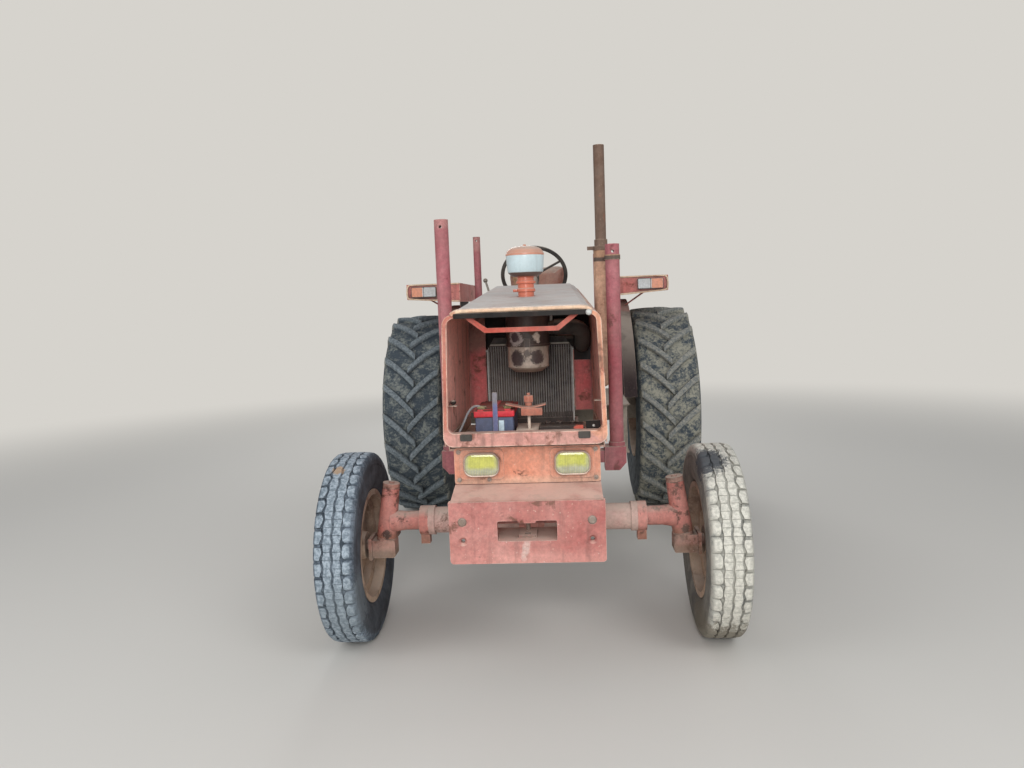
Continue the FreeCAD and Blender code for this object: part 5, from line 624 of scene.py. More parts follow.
nodeFinish = {
    "front_tyre_left": "frontTyrePale", "nose": "noseSheet", "side_panels": "sheetRed", "fenders": "fenderRed",
    "fender_caps": "capRed", "front_plate": "plateRed", "lamp_panel": "panelRed", "axle_beam": "axleDust",
    "axle_arms": "kingpinRed", "knuckle_left": "knuckleRust", "knuckle_right": "knuckleRust",
    "nose_brace": "braceRed", "battery_tray": "trayDust", "control_box": "controlBlack",
    "air_cleaner": "cleanerBlack",
}


def dressNodes():
    for row in frame["record"]["subparts"]:
        name = row["node"]
        finish = nodeFinish.get(name, slotFinish[row["material_slot"]])
        data = frame["nodes"][name].data
        data.materials.clear()
        data.materials.append(finishes[finish])


dressNodes()
print("finishes on", len(frame["nodes"]), "nodes")


# New pieces. Each fills a bmesh, which addPiece makes into an object of its body
def joinInto(mesh, other):
    data = bpy.data.meshes.new("joined")
    other.to_mesh(data)
    other.free()
    mesh.from_mesh(data)
    bpy.data.meshes.remove(data)


def addPiece(name, mesh, finish, nodes=(), smooth=35, body="chassis"):
    bmesh.ops.remove_doubles(mesh, verts=mesh.verts, dist=0.00002)
    bmesh.ops.recalc_face_normals(mesh, faces=mesh.faces)
    for face in mesh.faces:
        face.smooth = True
    for edge in mesh.edges:
        edge.smooth = len(edge.link_faces) == 2 and edge.calc_face_angle(0.0) < math.radians(smooth)
    data = bpy.data.meshes.new(name)
    mesh.to_mesh(data)
    mesh.free()
    data.materials.append(finishes[finish])
    piece = placed(name, data)
    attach(piece, body)
    if nodes:
        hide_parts(*nodes)
    return piece


def spunRound(mesh, spots, centre, axis, steps, closed=False):
    # A line of spots turned all the way round an axis. A closed line's last spot meets its first one
    points = [mesh.verts.new(spot) for spot in spots]
    line = points + points[:1] if closed else points
    edges = [mesh.edges.new(pair) for pair in zip(line, line[1:])]
    bmesh.ops.spin(mesh, geom=points + edges, cent=centre, axis=axis, dvec=(0, 0, 0), angle=2 * math.pi,
                   steps=steps, use_merge=True, use_normal_flip=False, use_duplicate=False)


def wheelRing(mesh, middle, side, steps):
    # side is half of a line of (out from the middle, radius) round an axle, which runs along X
    spots = [Vector(middle) + Vector((x, 0, -r)) for x, r in side]
    spunRound(mesh, spots, middle, (1, 0, 0), steps, closed=True)


def rounded(mesh, edges, offset, segments):
    return bmesh.ops.bevel(mesh, geom=list(edges), offset=offset, offset_type="OFFSET", affect="EDGES",
                           segments=segments, profile=0.5, material=-1, clamp_overlap=True)["verts"]


def inset(mesh, face, *steps):
    # Each step goes in from the face's edge and up from the face
    for thickness, depth in steps:
        bmesh.ops.inset_region(mesh, faces=[face], thickness=thickness, depth=depth, use_even_offset=True)


def box(mesh, low, high, bevel=0.0, segments=2):
    low, high = Vector(low), Vector(high)
    place = Matrix.Translation((low + high) / 2) @ Matrix.Diagonal((*(high - low), 1))
    made = bmesh.ops.create_cube(mesh, size=1.0, matrix=place)["verts"]
    return rounded(mesh, {edge for vert in made for edge in vert.link_edges}, bevel, segments) if bevel else made


def boxPiece(name, corners, bevel, segments, finish):
    # A piece of plain boxes, each given by its lowest and highest corner
    mesh = bmesh.new()
    for low, high in corners:
        box(mesh, low, high, bevel, segments)
    return addPiece(name, mesh, finish)


def pin(mesh, foot, top, radius, sides=20, tip=None, bevel=0.0):
    # A rod from foot to top. tip is its radius at the top
    foot, top = Vector(foot), Vector(top)
    turn = (top - foot).to_track_quat("Z", "Y").to_matrix().to_4x4()
    made = bmesh.ops.create_cone(mesh, cap_ends=True, cap_tris=False, segments=sides, radius1=radius,
                                 radius2=radius if tip is None else tip, depth=(top - foot).length,
                                 matrix=Matrix.Translation((foot + top) / 2) @ turn)["verts"]
    if bevel:
        edges = {edge for vert in made for edge in vert.link_edges}
        rounded(mesh, [e for e in edges if any(len(f.verts) > 4 for f in e.link_faces)], bevel, 2)
    return made


# Rear tyres: bars that slope down to the middle of the tread in front, two rows half a pitch apart
rearTyre = {
    "middle": (0.935, 1.080, 0.787),
    "steps": 132,
    "lugs": 22,
    "lugWidth": 0.052,
    "lugRun": 0.220,          # how far round the tyre each bar runs
    "lugFrom": -0.026,        # past the middle of the tread
    "lugTo": 0.205,
    "lugCurve": 0.20,
    "top": 0.787,
    "root": 0.727,
    "drop": 0.012,
    "round": 0.0075,
    "cuts": 8,                # along each bar, so that it can bend
    "endFrom": 0.72,          # share of the bar from which its root falls to the sidewall
    "endFall": 0.062,
    "endReach": 0.019,
    "flare": 0.30,            # how much wider a bar is at its root
    "middleRadius": 0.751,
    "side": [(0.2037, 0.386), (0.2037, 0.409), (0.209, 0.425), (0.2175, 0.455), (0.2225, 0.480), (0.2250, 0.482),
             (0.2260, 0.490), (0.2250, 0.498), (0.2285, 0.530), (0.2312, 0.565), (0.2318, 0.600), (0.2300, 0.620),
             (0.2272, 0.624), (0.2268, 0.640), (0.2262, 0.655), (0.2220, 0.690), (0.2140, 0.712), (0.2020, 0.732),
             (0.1880, 0.741), (0.170, 0.745), (0.130, 0.748), (0.090, 0.7495), (0.045, 0.7507)],
}


def tyreLugs(look, side, turn, middle):
    mesh = bmesh.new()
    height = look["top"] - look["root"]
    length = look["lugTo"] - look["lugFrom"]
    bmesh.ops.create_cube(mesh, size=1.0, matrix=Matrix.Diagonal((length, look["lugWidth"], height, 1)))
    rounded(mesh, [e for e in mesh.edges if sum(v.co.z for v in e.verts) > -0.001], look["round"], 2)
    for k in range(1, look["cuts"]):
        bmesh.ops.bisect_plane(mesh, geom=mesh.verts[:] + mesh.edges[:] + mesh.faces[:], dist=0.00001,
                               plane_co=(length * (k / look["cuts"] - 0.5), 0, 0), plane_no=(1, 0, 0))
    for vert in mesh.verts:
        share = min(max(vert.co.x / length + 0.5, 0.0), 1.0)
        up = vert.co.z / height + 0.5
        end = max(0.0, (share - look["endFrom"]) / (1 - look["endFrom"])) ** 2
        radius = look["root"] - look["endFall"] * end
        radius += up * (look["top"] - look["drop"] * share ** 2 - radius)
        across = look["lugFrom"] + length * share + (1 - up) * look["endReach"] * end
        slope = 1 + look["flare"] * (1 - up)
        run = -look["lugRun"] * (share + look["lugCurve"] * share * (1 - share))
        angle = turn + (run + vert.co.y * slope) / look["top"]
        vert.co = Vector(middle) + Vector((side * across, radius * math.sin(angle), -radius * math.cos(angle)))
    pitch = 2 * math.pi / look["lugs"]
    bmesh.ops.spin(mesh, geom=mesh.verts[:] + mesh.edges[:] + mesh.faces[:], cent=middle, axis=(1, 0, 0),
                   dvec=(0, 0, 0), angle=2 * math.pi - pitch, steps=look["lugs"] - 1, use_merge=False,
                   use_normal_flip=False, use_duplicate=True)
    return mesh


def makeTyre(wheel, side, finish, mesh, smooth):
    addPiece(f"{wheel}Tyre{side.capitalize()}", mesh, finish, [f"{wheel}_tyre_{side}"], smooth,
             body=f"{wheel}_wheel_{side}")


def makeRearTyre(side, sign, finish):
    look = rearTyre
    middle = (sign * look["middle"][0], *look["middle"][1:])
    mesh = bmesh.new()
    pitch = 2 * math.pi / look["lugs"]
    start = look["lugWidth"] / 2 / look["top"]
    half = look["side"]
    wheelRing(mesh, middle, half + [(0.0, look["middleRadius"])] + [(-x, r) for x, r in reversed(half)], look["steps"])
    for way, shift in ((sign, 0.0), (-sign, 0.5)):
        joinInto(mesh, tyreLugs(look, way, start + shift * pitch, middle))
    makeTyre("rear", side, finish, mesh, 40)


makeRearTyre("left", 1, "rearTyreDusty")
makeRearTyre("right", -1, "rearTyreBlack")
print("rear tyres made")


# Front tyres: two wavy ribs in the middle, blocks on the outer shoulder, scalloped inner shoulder
frontTyre = {
    "middle": (0.883, -1.470, 0.466),
    "pitches": 40,
    "places": [0.00, 0.02, 0.21, 0.23, 0.32, 0.42, 0.48, 0.50, 0.52, 0.66, 0.82, 0.98],   # rings in each pitch
    "sipeDepth": 0.0035,
    "notchDepth": 0.013,
    "wave": 0.0030,
    "scallop": 0.0150,
    "sipes": (0.00, 0.50),        # places of the cuts in the ribs
    "notches": (0.02, 0.21),      # of the gaps between the blocks
    "crescents": {0.00: 0.95, 0.02: 0.6, 0.98: 0.6},   # of the inner shoulder's gaps, and their depths
    "treadFrom": 0.4415,          # radii
    "crescentFrom": 0.4550,
    "notchFrom": 0.459,
    "ribTop": 0.4648,
    "sipeFrom": 0.004,            # distances from the tread's middle
    "ribMiddle": 0.02,
    "ribEdge": 0.043,
    "crescentEdge": 0.049,
    "blockEdge": 0.053,
    "blockEnd": 0.094,
    "lowNotch": 0.75,             # shares of the notch's depth and of the scallop
    "outerSway": 0.35,
    "bulgeMiddle": 0.6,
    "side": [(0.0770, 0.262), (0.0770, 0.284), (0.0850, 0.294), (0.0900, 0.303), (0.0905, 0.309), (0.0935, 0.322),
             (0.0960, 0.338), (0.0970, 0.355), (0.0972, 0.360), (0.0962, 0.362), (0.0960, 0.385), (0.0940, 0.403),
             (0.0955, 0.406), (0.0955, 0.410), (0.0935, 0.413), (0.0925, 0.430), (0.0900, 0.444), (0.0850, 0.4555),
             (0.0780, 0.4612), (0.0660, 0.4640), (0.0520, 0.4652), (0.0500, 0.4560), (0.0415, 0.4555),
             (0.0390, 0.4656), (0.0300, 0.4660), (0.0200, 0.4660), (0.0060, 0.4660), (0.0035, 0.4580)],
}


def shapeTread(vert, look, middle, outward):
    rings = len(look["places"])
    whole = look["pitches"] * rings
    off = vert.co - Vector(middle)
    radius = math.hypot(off.y, off.z)
    ring = round(math.atan2(off.y, -off.z) / (2 * math.pi) * whole) % whole
    place = look["places"][ring % rings]
    angle = (ring // rings + place) / look["pitches"] * 2 * math.pi
    across = off.x * outward
    width = abs(across)
    top = radius
    if top > look["treadFrom"]:
        sway = math.sin(2 * math.pi * (place + 0.25))
        if width < look["ribEdge"]:
            if top > look["ribTop"] and place in look["sipes"] and width > look["sipeFrom"]:
                radius -= look["sipeDepth"]
            across += look["wave"] * (sway if width > look["ribMiddle"] else -sway)
        elif across > 0:
            if place in look["notches"] and width < look["blockEnd"]:
                radius -= look["notchDepth"] * (1 if top > look["notchFrom"] else look["lowNotch"])
            if width < look["blockEdge"]:
                across += look["outerSway"] * look["scallop"] * sway
        else:
            if width < look["blockEdge"]:
                across += look["scallop"] * (abs(math.sin(math.pi * place)) ** 0.5 - look["bulgeMiddle"])
            if place in look["crescents"] and width > look["crescentEdge"] and top > look["crescentFrom"]:
                radius -= look["notchDepth"] * look["crescents"][place]
    vert.co = Vector(middle) + Vector((across * outward, radius * math.sin(angle), -radius * math.cos(angle)))


def makeFrontTyre(side, sign, finish):
    look = frontTyre
    middle = (sign * look["middle"][0], *look["middle"][1:])
    mesh = bmesh.new()
    half = look["side"]
    wheelRing(mesh, middle, half + [(-x, r) for x, r in reversed(half)], look["pitches"] * len(look["places"]))
    for vert in mesh.verts:
        shapeTread(vert, look, middle, sign)
    makeTyre("front", side, finish, mesh, 32)


makeFrontTyre("left", 1, "frontTyrePale")
makeFrontTyre("right", -1, "frontTyreGrey")
print("front tyres made")


# Pre-cleaner: orange lid, cloudy bowl, clamped neck through the bonnet
precleaner = {
    "centre": (0.0, -1.270),
    "side": [(0.0, 1.640), (0.040, 1.640), (0.040, 1.700), (0.044, 1.702), (0.047, 1.704), (0.047, 1.716),
             (0.044, 1.719), (0.041, 1.722), (0.041, 1.742), (0.049, 1.744), (0.050, 1.750), (0.049, 1.756),
             (0.042, 1.758), (0.042, 1.776), (0.060, 1.778), (0.075, 1.786), (0.086, 1.797), (0.090, 1.806),
             (0.0925, 1.830), (0.0945, 1.860), (0.0955, 1.878), (0.0955, 1.883), (0.0970, 1.885), (0.0970, 1.893),
             (0.0940, 1.896), (0.0900, 1.906), (0.0780, 1.918), (0.0580, 1.926), (0.0300, 1.930), (0.0090, 1.931),
             (0.0085, 1.936), (0.0055, 1.940), (0.0, 1.940)],   # radius, height
    "steps": 64,
    "clamp": ((-0.066, -1.280, 1.703), (-0.040, -1.260, 1.717)),
    "screw": ((-0.058, -1.288, 1.710), (-0.058, -1.252, 1.710)),
    "screwRadius": 0.0035,
}


def makePrecleaner():
    look = precleaner
    mesh = bmesh.new()
    x, y = look["centre"]
    spunRound(mesh, [(x + r, y, z) for r, z in look["side"]], (x, y, 0), (0, 0, 1), look["steps"])
    box(mesh, *look["clamp"], 0.003)
    pin(mesh, *look["screw"], look["screwRadius"], 10)
    addPiece("precleaner", mesh, "bowlPlastic", ["precleaner"], 30)


makePrecleaner()


# Head lamps: a pale rim round pressed glass
headLamp = {
    "middle": (0.202, 0.9385),    # out from the middle, height
    "half": (0.080, 0.0535),
    "front": -1.860,
    "back": -1.836,
    "corner": 0.038,
    "rim": 0.0065,
    "crack": 0.0004,              # between rim and glass
    "rimSteps": [(0.4, 0.002), (0.6, -0.001)],     # share of the rim's width, rise
    "rimDepth": 0.006,
    "glass": (0.0035, 0.012),     # front and back of the glass, behind the front
    "glassSteps": [(0.003, 0.0012), (0.006, 0.0012), (0.009, 0.0006)],
}


def roundedPlate(mesh, middle, half, front, back, corner):
    low, high = ([m + way * h for m, h in zip(middle, half)] for way in (-1, 1))
    made = box(mesh, (low[0], front, low[1]), (high[0], back, high[1]))
    edges = {e for v in made for e in v.link_edges}
    rounded(mesh, [e for e in edges if abs(e.verts[0].co.y - e.verts[1].co.y) > 0.001], corner, 8)
    return max((f for f in mesh.faces if len(f.verts) > 8), key=lambda f: -f.calc_center_median().y)


def makeHeadLamp(side, sign):
    look = headLamp
    middle = (sign * look["middle"][0], look["middle"][1])
    front, width, crack = look["front"], look["rim"], look["crack"]
    rim = bmesh.new()
    face = roundedPlate(rim, middle, look["half"], front + look["rimSteps"][0][1], look["back"], look["corner"])
    inset(rim, face, *((width * share, rise) for share, rise in look["rimSteps"]), (crack, -look["rimDepth"]))
    addPiece(f"headLamp{side}Rim", rim, "lampRim", ["head_lamps"], 30)
    glass = bmesh.new()
    half = [v - width - crack for v in look["half"]]
    face = roundedPlate(glass, middle, half, *(front + v for v in look["glass"]), look["corner"] - width)
    inset(glass, face, *look["glassSteps"])
    addPiece(f"headLamp{side}Glass", glass, "lampGlass", ["head_lamps"], 30)


makeHeadLamp("Left", 1)
makeHeadLamp("Right", -1)
print("lamps and pre-cleaner made")


# Sheets that close the gaps beside and above the radiator: red baffles with flanged edges, and behind them near-black
# sheets that are painted shade for the dark engine bay
baffles = {
    # name: lowest and highest corner
    "red": [((0.2345, -1.0785, 1.066), (0.346, -1.0755, 1.335)),
            ((-0.346, -1.0785, 1.066), (-0.2345, -1.0755, 1.590)),
            ((-0.2370, -1.0940, 1.066), (-0.2345, -1.0770, 1.380)),
            ((0.2345, -1.0940, 1.066), (0.2370, -1.0770, 1.335))],
    # Near-black sheets behind the radiator: painted shade
    "shadeSheets": [((-0.2600, -0.9950, 1.380), (-0.020, -0.9920, 1.655)),
              ((-0.0200, -0.9950, 1.500), (0.2600, -0.9920, 1.655)),
              ((0.2360, -0.9950, 1.060), (0.3440, -0.9920, 1.610)),
              ((-0.3440, -0.9950, 1.060), (-0.2360, -0.9920, 1.610))],
    "holes": [(-0.285, 1.20), (-0.285, 1.36), (-0.310, 1.27), (0.292, 1.17), (0.300, 1.27)],
    "holeDepth": (-1.0800, -1.0780),
    "holeRadius": 0.007,
    "bevel": 0.0008,
}


def makeBaffles():
    look = baffles
    red = bmesh.new()
    for low, high in look["red"]:
        box(red, low, high, look["bevel"], 1)
    front, back = look["holeDepth"]
    for x, z in look["holes"]:
        pin(red, (x, front, z), (x, back, z), look["holeRadius"], 14)
    addPiece("radiatorBaffles", red, "baffleRed")
    # The near-black sheets stand in for the shade inside the engine bay
    boxPiece("radiatorShadeSheets", look["shadeSheets"], look["bevel"], 1, "blackAndShade")


makeBaffles()


# Battery: case, red lid with a stepped edge, strap, posts and the lead down to the tray
battery = {
    "case": ((-0.231, -1.768, 1.0085), (-0.057, -1.442, 1.139)),
    "lid": ((-0.236, -1.773, 1.139), (-0.052, -1.437, 1.168)),
    "strap": ((-0.149, -1.7772, 1.0085), (-0.127, -1.7738, 1.252)),
    "label": ((-0.124, -1.7712, 1.072), (-0.100, -1.7682, 1.124)),
    "posts": [(-0.204, -1.735), (-0.084, -1.735)],
    "lead": [(-0.204, -1.735, 1.180), (-0.226, -1.742, 1.196), (-0.262, -1.752, 1.168), (-0.286, -1.765, 1.110),
             (-0.306, -1.775, 1.072)],
    "leadRadius": 0.0055,
    "caps": 6,
    "cap": (0.013, 0.011),        # radius, height
    "stepIn": 0.022,              # the lid's upper step: in from its edge, from and to these heights
    "step": (0.029, 0.006),
    "ears": 0.030,                # carrying ears, in from the lid's ends
    "ear": ((-0.014, 0.002, -0.004), (0.014, 0.014, 0.008)),
}


def tubeAlong(name, points, radius, finish):
    # A smooth round tube through a NURBS line
    line = bpy.data.curves.new(name, "CURVE")
    line.dimensions = "3D"
    spline = line.splines.new("NURBS")
    spline.points.add(len(points) - 1)
    for point, spot in zip(spline.points, points):
        point.co = (*spot, 1.0)
    spline.order_u = 3
    spline.use_endpoint_u = True
    line.bevel_depth = radius
    line.bevel_resolution = 4
    line.use_fill_caps = True
    holder = placed(name, line)
    bpy.context.view_layer.update()
    data = bpy.data.meshes.new_from_object(holder.evaluated_get(bpy.context.evaluated_depsgraph_get()))
    bpy.data.objects.remove(holder)
    mesh = bmesh.new()
    mesh.from_mesh(data)
    bpy.data.meshes.remove(data)
    return addPiece(name, mesh, finish, smooth=40)


def makeBattery():
    look = battery
    mesh = bmesh.new()
    box(mesh, *look["case"], 0.006, 3)
    low, high = (Vector(corner) for corner in look["lid"])
    box(mesh, low, high, 0.005, 3)
    inward, (foot, top) = look["stepIn"], look["step"]
    box(mesh, low + Vector((inward, inward, foot)), high + Vector((-inward, -inward, top)), 0.003)
    radius, height = look["cap"]
    for k in range(look["caps"]):
        y = low.y + (high.y - low.y) * (k + 0.9) / (look["caps"] + 0.8)
        foot = Vector(((low.x + high.x) / 2, y, high.z))
        pin(mesh, foot, foot + Vector((0, 0, height)), radius, 18, bevel=0.002)
    for x in (low.x + look["ears"], high.x - look["ears"]):
        box(mesh, *(Vector((x, low.y, high.z)) + Vector(corner) for corner in look["ear"]), 0.003)
    addPiece("battery", mesh, "batteryCase", ["battery"], 30)
    posts = bmesh.new()
    for x, y in look["posts"]:
        pin(posts, (x, y, 1.164), (x, y, 1.188), 0.010, 18, tip=0.0085, bevel=0.001)
        box(posts, (x - 0.017, y - 0.010, 1.172), (x + 0.017, y + 0.024, 1.185), 0.003)
        pin(posts, (x - 0.020, y + 0.018, 1.179), (x + 0.022, y + 0.018, 1.179), 0.004, 10)
    addPiece("batteryPosts", posts, "terminalLead", smooth=30)
    boxPiece("batteryStrap", [look["strap"]], 0.001, 2, "strapBlue")
    boxPiece("batteryLabel", [look["label"]], 0.0006, 1, "blankLabel")
    tubeAlong("batteryLead", look["lead"], look["leadRadius"], "leadGrey")


makeBattery()


# Battery clamp: a threaded stud with a nut over a bent plate and a block, on a dusty board
clamp = {
    "stud": ((0.012, -1.722, 1.0085), (0.012, -1.722, 1.142)),
    "studTop": ((0.012, -1.722, 1.172), (0.012, -1.722, 1.240)),
    "nut": ((0.012, -1.722, 1.198), (0.012, -1.722, 1.228)),
    "sleeve": ((0.012, -1.722, 1.180), (0.012, -1.722, 1.198)),
    "block": ((-0.022, -1.760, 1.140), (0.074, -1.700, 1.174)),
    "plate": ((-0.092, -1.757, 1.174), (0.090, -1.703, 1.180)),
    "flat": (-0.018, 0.040),     # the arms bend up outside these
    "rises": ((0.016, 0.074), (0.012, 0.050)),   # height and length of the left arm and of the right one
    "radii": {"nut": 0.023, "sleeve": 0.016, "stud": 0.0075},
    "board": ((-0.048, -1.802, 1.0085), (0.056, -1.560, 1.0760)),
}


def makeClamp():
    look = clamp
    radii = look["radii"]
    mesh = bmesh.new()
    pin(mesh, *look["nut"], radii["nut"], 6, bevel=0.002)
    pin(mesh, *look["sleeve"], radii["sleeve"], 24, bevel=0.001)
    pin(mesh, *look["studTop"], radii["stud"], 16, bevel=0.001)
    box(mesh, *look["block"], 0.003)
    bent = bmesh.new()
    box(bent, *look["plate"], 0.001, 1)
    bmesh.ops.subdivide_edges(bent, edges=[e for e in bent.edges if e.calc_length() > 0.1], cuts=9, use_grid_fill=True)
    low, high = look["flat"]
    for vert in bent.verts:
        x = vert.co.x
        for past, (rise, length) in zip((low - x, x - high), look["rises"]):
            vert.co.z += rise * max(0.0, past) / length
    joinInto(mesh, bent)
    addPiece("batteryClamp", mesh, "clampRust", ["battery_clamp"], 30)
    stud = bmesh.new()
    pin(stud, *look["stud"], radii["stud"], 16, bevel=0.001)
    addPiece("clampStud", stud, "boardDust")
    boxPiece("trayBoard", [look["board"]], 0.004, 2, "boardDust")


makeClamp()


# Small things in the mouth: a knob, a thin pipe, brackets on the walls, a plate beside the control box
mouthTrim = {
    "knob": (0.289, -1.926, 1.599),
    "knobRadius": 0.0135,
    "pipe": [(0.120, -1.250, 1.640), (0.120, -1.270, 1.606), (0.121, -1.272, 1.565), (0.121, -1.272, 1.530)],
    "pipeRadius": 0.008,
    "shelves": [((-0.345, -1.800, 1.196), (-0.308, -1.765, 1.200)), ((0.306, -1.840, 1.208), (0.340, -1.800, 1.212))],
    "catch": (-0.325, -1.785, 1.214),
    "plate": ((0.268, -1.800, 1.064), (0.332, -1.796, 1.118)),
    "plateDot": (0.302, -1.802, 1.094),
    "dotRadius": 0.0065,
    "stalk": (0.004, 0.040, 0.005),      # from and to behind the knob, radius
    "cover": ((0.062, -1.814, 1.0085), (0.256, -1.752, 1.098)),
}


def ball(mesh, centre, radius, flat=1.0):
    place = Matrix.Translation(centre) @ Matrix.Diagonal((1, 1, flat, 1))
    return bmesh.ops.create_uvsphere(mesh, u_segments=24, v_segments=16, radius=radius, matrix=place)["verts"]


def makeMouthTrim():
    look = mouthTrim
    knob = bmesh.new()
    ball(knob, look["knob"], look["knobRadius"])
    x, y, z = look["knob"]
    start, end, radius = look["stalk"]
    pin(knob, (x, y + start, z), (x, y + end, z + 0.004), radius, 14)
    ball(knob, look["plateDot"], look["dotRadius"])
    addPiece("whiteKnobs", knob, "whiteKnob")
    tubeAlong("thinPipe", look["pipe"], look["pipeRadius"], "whiteKnob")
    boxPiece("wallShelves", look["shelves"], 0.0008, 1, "lampRim")
    dark = bmesh.new()
    box(dark, *look["plate"], 0.0012, 1)
    ball(dark, look["catch"], 0.014, 0.8)
    addPiece("wallCatch", dark, "blackAndShade")
    boxPiece("controlCover", [look["cover"]], 0.004, 2, "controlBlack")


makeMouthTrim()
print("battery and trim made")


# Rolled edges: the bonnet's front lip over a near-black strip of painted shade, and the rims of the fender caps
rolledEdges = {
    "bonnet": [(x, -1.912, z) for x, z in ((-0.300, 1.606), (-0.287, 1.6165), (-0.262, 1.6225), (-0.180, 1.6225),
                                           (0.180, 1.6225), (0.262, 1.6225), (0.287, 1.6165), (0.300, 1.606))],
    "bonnetRadius": 0.0105,
    "shadeStrip": ((-0.290, -1.9222, 1.5900), (0.290, -1.9195, 1.6120)),
    "cap": [(0.566, 1.677), (0.760, 1.691), (0.915, 1.7025), (0.948, 1.706), (0.953, 1.752), (0.944, 1.804),
            (0.910, 1.8055), (0.760, 1.8055), (0.566, 1.8055)],
    "capFront": 0.5105,
    "capRadius": 0.0060,
}


def makeRolledEdges():
    look = rolledEdges
    tubeAlong("bonnetLip", look["bonnet"], look["bonnetRadius"], "rimPale")
    # A near-black strip under the lip: painted shade
    boxPiece("bonnetShadeStrip", [look["shadeStrip"]], 0.001, 1, "blackAndShade")
    for side, sign in (("Left", 1), ("Right", -1)):
        line = [(sign * x, look["capFront"], z) for x, z in look["cap"]]
        tubeAlong("capRim" + side, line, look["capRadius"], "rimPale")


makeRolledEdges()


# Bolt heads: domed, with a washer
bolts = {
    "plate": [(-0.276, -2.030, 0.729), (0.276, -2.030, 0.729)],
    "panel": [(x, -1.836, z) for x in (-0.305, 0.305) for z in (0.868, 0.995)] + [(-0.17, -1.836, 0.868)],
    "panelSize": (0.0075, 0.006),     # radius, height
    "plateSize": (0.0185, 0.012, 0.0040, 0.0130),   # radius, depth in the plate, height of the dome, radius at its top
}


def makeBolts():
    mesh = bmesh.new()
    radius, height = bolts["panelSize"]
    for x, y, z in bolts["panel"]:
        # A hexagon head on its washer
        pin(mesh, (x, y, z), (x, y - height * 0.3, z), radius * 1.35, 20)
        pin(mesh, (x, y, z), (x, y - height, z), radius, 6, bevel=radius * 0.14)
    radius, depth, height, tip = bolts["plateSize"]
    for x, y, z in bolts["plate"]:
        pin(mesh, (x, y + depth, z), (x, y, z), radius, 28)
        pin(mesh, (x, y, z), (x, y - height, z), radius, 28, tip=tip)
    addPiece("frontBolts", mesh, "boltSteel")


makeBolts()


# Nuts on the wheel discs, each with a washer and the end of its stud
wheelNuts = {
    # wheel: its middle, ring's radius, nuts, foot and top out from the middle, nut's radius
    "front": ((0.883, -1.470, 0.466), 0.092, 6, 0.033, 0.047, 0.0115),
    "rear": ((0.935, 1.080, 0.787), 0.118, 8, -0.027, -0.010, 0.0150),
}


def makeWheelNuts(wheel, side, sign):
    middle, ring, count, foot, top, radius = wheelNuts[wheel]
    mesh = bmesh.new()
    for k in range(count):
        turn = 2 * math.pi * (k + 0.5) / count
        y, z = middle[1] + ring * math.sin(turn), middle[2] + ring * math.cos(turn)
        start, end = sign * (middle[0] + foot), sign * (middle[0] + top)
        pin(mesh, (start, y, z), (start + sign * 0.003, y, z), radius * 1.45, 20)
        pin(mesh, (start, y, z), (end, y, z), radius, 6, bevel=radius * 0.12)
        pin(mesh, (start, y, z), (end + sign * 0.006, y, z), radius * 0.5, 12, bevel=0.0008)
    addPiece(f"{wheel}WheelNuts{side.capitalize()}", mesh, "rustySteel", body=f"{wheel}_wheel_{side}")


for side, sign in (("left", 1), ("right", -1)):
    for wheel in wheelNuts:
        makeWheelNuts(wheel, side, sign)


# Dials on the cowl: a rim, a dark face and a pale hand
dials = {
    "spots": [(-0.130, 0.046, 2.2), (0.0, 0.030, 0.6), (0.130, 0.046, -2.4)],   # X, radius, turn of the hand
    "middle": (-0.050, 1.670),
    "out": (0.0, 0.9191, 0.3939),     # the way the faces look
    "front": 0.007,
    "rim": 0.005,
}


def makeDials():
    look = dials
    out = Vector(look["out"]).normalized()
    up = Vector((0, -out.z, out.y))
    rims, faces, hands = bmesh.new(), bmesh.new(), bmesh.new()
    for x, radius, turn in look["spots"]:
        foot = Vector((x, *look["middle"])) + out * look["front"]
        made = pin(rims, foot, foot + out * 0.004, radius, 48)
        ends = {f for v in made for f in v.link_faces if len(f.verts) > 4}
        inset(rims, max(ends, key=lambda f: f.calc_center_median() @ out), (look["rim"], 0.0), (0.0006, -0.003))
        pin(faces, foot, foot + out * 0.0016, radius - look["rim"], 48)
        along = Vector((1, 0, 0)) * math.sin(turn) + up * math.cos(turn)
        start = foot + out * 0.0022
        pin(hands, start - along * radius * 0.15, start + along * radius * 0.68, 0.0014, 8, tip=0.0006)
        pin(hands, foot + out * 0.0012, foot + out * 0.0034, 0.004, 16)
    addPiece("dialRims", rims, "bareSteel")
    addPiece("dialFaces", faces, "dialDark")
    addPiece("dialHands", hands, "whiteKnob")


makeDials()
print("baffles, bolts, nuts and dials made")


# Seat cushion and back: a padded form swollen by the cloth simulation
seatPads = {
    "voxel": 0.006,
    "pressure": 4.0,
    "frames": 20,
    "mostSwell": 0.022,
    "shrink": 0.014,
    "hollow": 0.016,
    "hollowEdges": (2.4, 3),      # how flat the hollow is across and along
    "bevel": 0.022,
    "fill": 0.7,
}


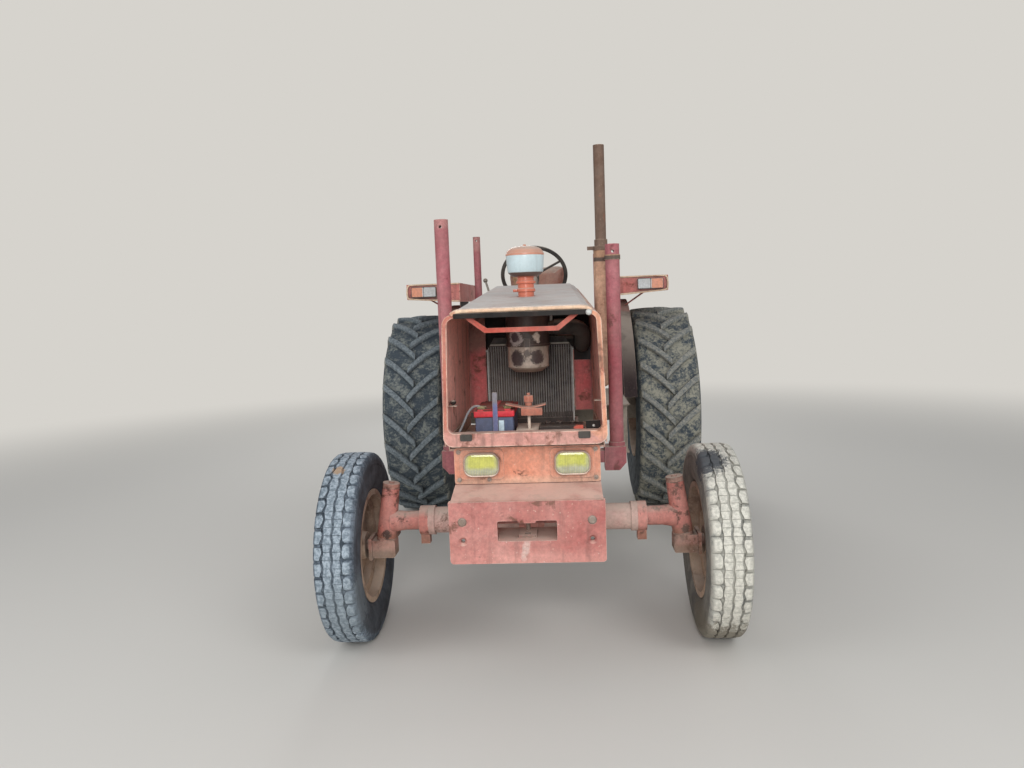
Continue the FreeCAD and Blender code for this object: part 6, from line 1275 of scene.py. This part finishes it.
def padMesh(low, high, crown, axis):
    mesh = bmesh.new()
    shrink = Vector((1, 1, 1)) * seatPads["shrink"]
    low, high = Vector(low) + shrink, Vector(high) - shrink
    box(mesh, low, high, seatPads["bevel"], 3)
    bmesh.ops.subdivide_edges(mesh, edges=[e for e in mesh.edges if e.calc_length() > 0.05], cuts=7, use_grid_fill=True)
    middle = (low + high) / 2
    reach = (high - low) / 2
    for vert in mesh.verts:
        off = [(vert.co[i] - middle[i]) / reach[i] for i in range(3)]
        if off.pop(axis) * crown > 0:
            # Side rolls stand up round a shallow hollow
            first, second = (max(0.0, 1 - abs(v) ** power) for v, power in zip(off, seatPads["hollowEdges"]))
            vert.co[axis] -= crown * seatPads["hollow"] * first * second
    return mesh


def swollen(name, mesh, finish, node):
    piece = addPiece(name, mesh, finish, [node])
    remesh = piece.modifiers.new("remesh", "REMESH")
    remesh.mode = "VOXEL"
    remesh.voxel_size = seatPads["voxel"]
    applied(piece)
    rest = [v.co.copy() for v in piece.data.vertices]
    cloth = piece.modifiers.new("cloth", "CLOTH")
    cloth.settings.use_pressure = True
    cloth.settings.uniform_pressure_force = seatPads["pressure"]
    cloth.settings.effector_weights.gravity = 0.0
    scene = bpy.context.scene
    for step in range(1, seatPads["frames"] + 1):
        scene.frame_set(step)
    applied(piece)
    scene.frame_set(1)
    for vert, start in zip(piece.data.vertices, rest):
        moved = vert.co - start
        if moved.length > seatPads["mostSwell"]:
            vert.co = start + moved.normalized() * seatPads["mostSwell"]
    finer = piece.modifiers.new("finer", "SUBSURF")
    finer.levels = finer.render_levels = 1
    return piece


def applied(piece):
    # The piece's mesh becomes what its modifiers make of it
    bpy.context.view_layer.update()
    shape = piece.evaluated_get(bpy.context.evaluated_depsgraph_get())
    data = bpy.data.meshes.new_from_object(shape)
    old = piece.data
    piece.modifiers.clear()
    piece.data = data
    bpy.data.meshes.remove(old)


def makeSeat():
    for name, node, crown, axis in (("seatCushion", "seat_cushion", 1, 2), ("seatBack", "seat_back", -1, 1)):
        low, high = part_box(node)
        piece = swollen(name, padMesh(low, high, crown, axis), "seatCover", node)
        for polygon in piece.data.polygons:
            polygon.use_smooth = True


makeSeat()
print("seat made")
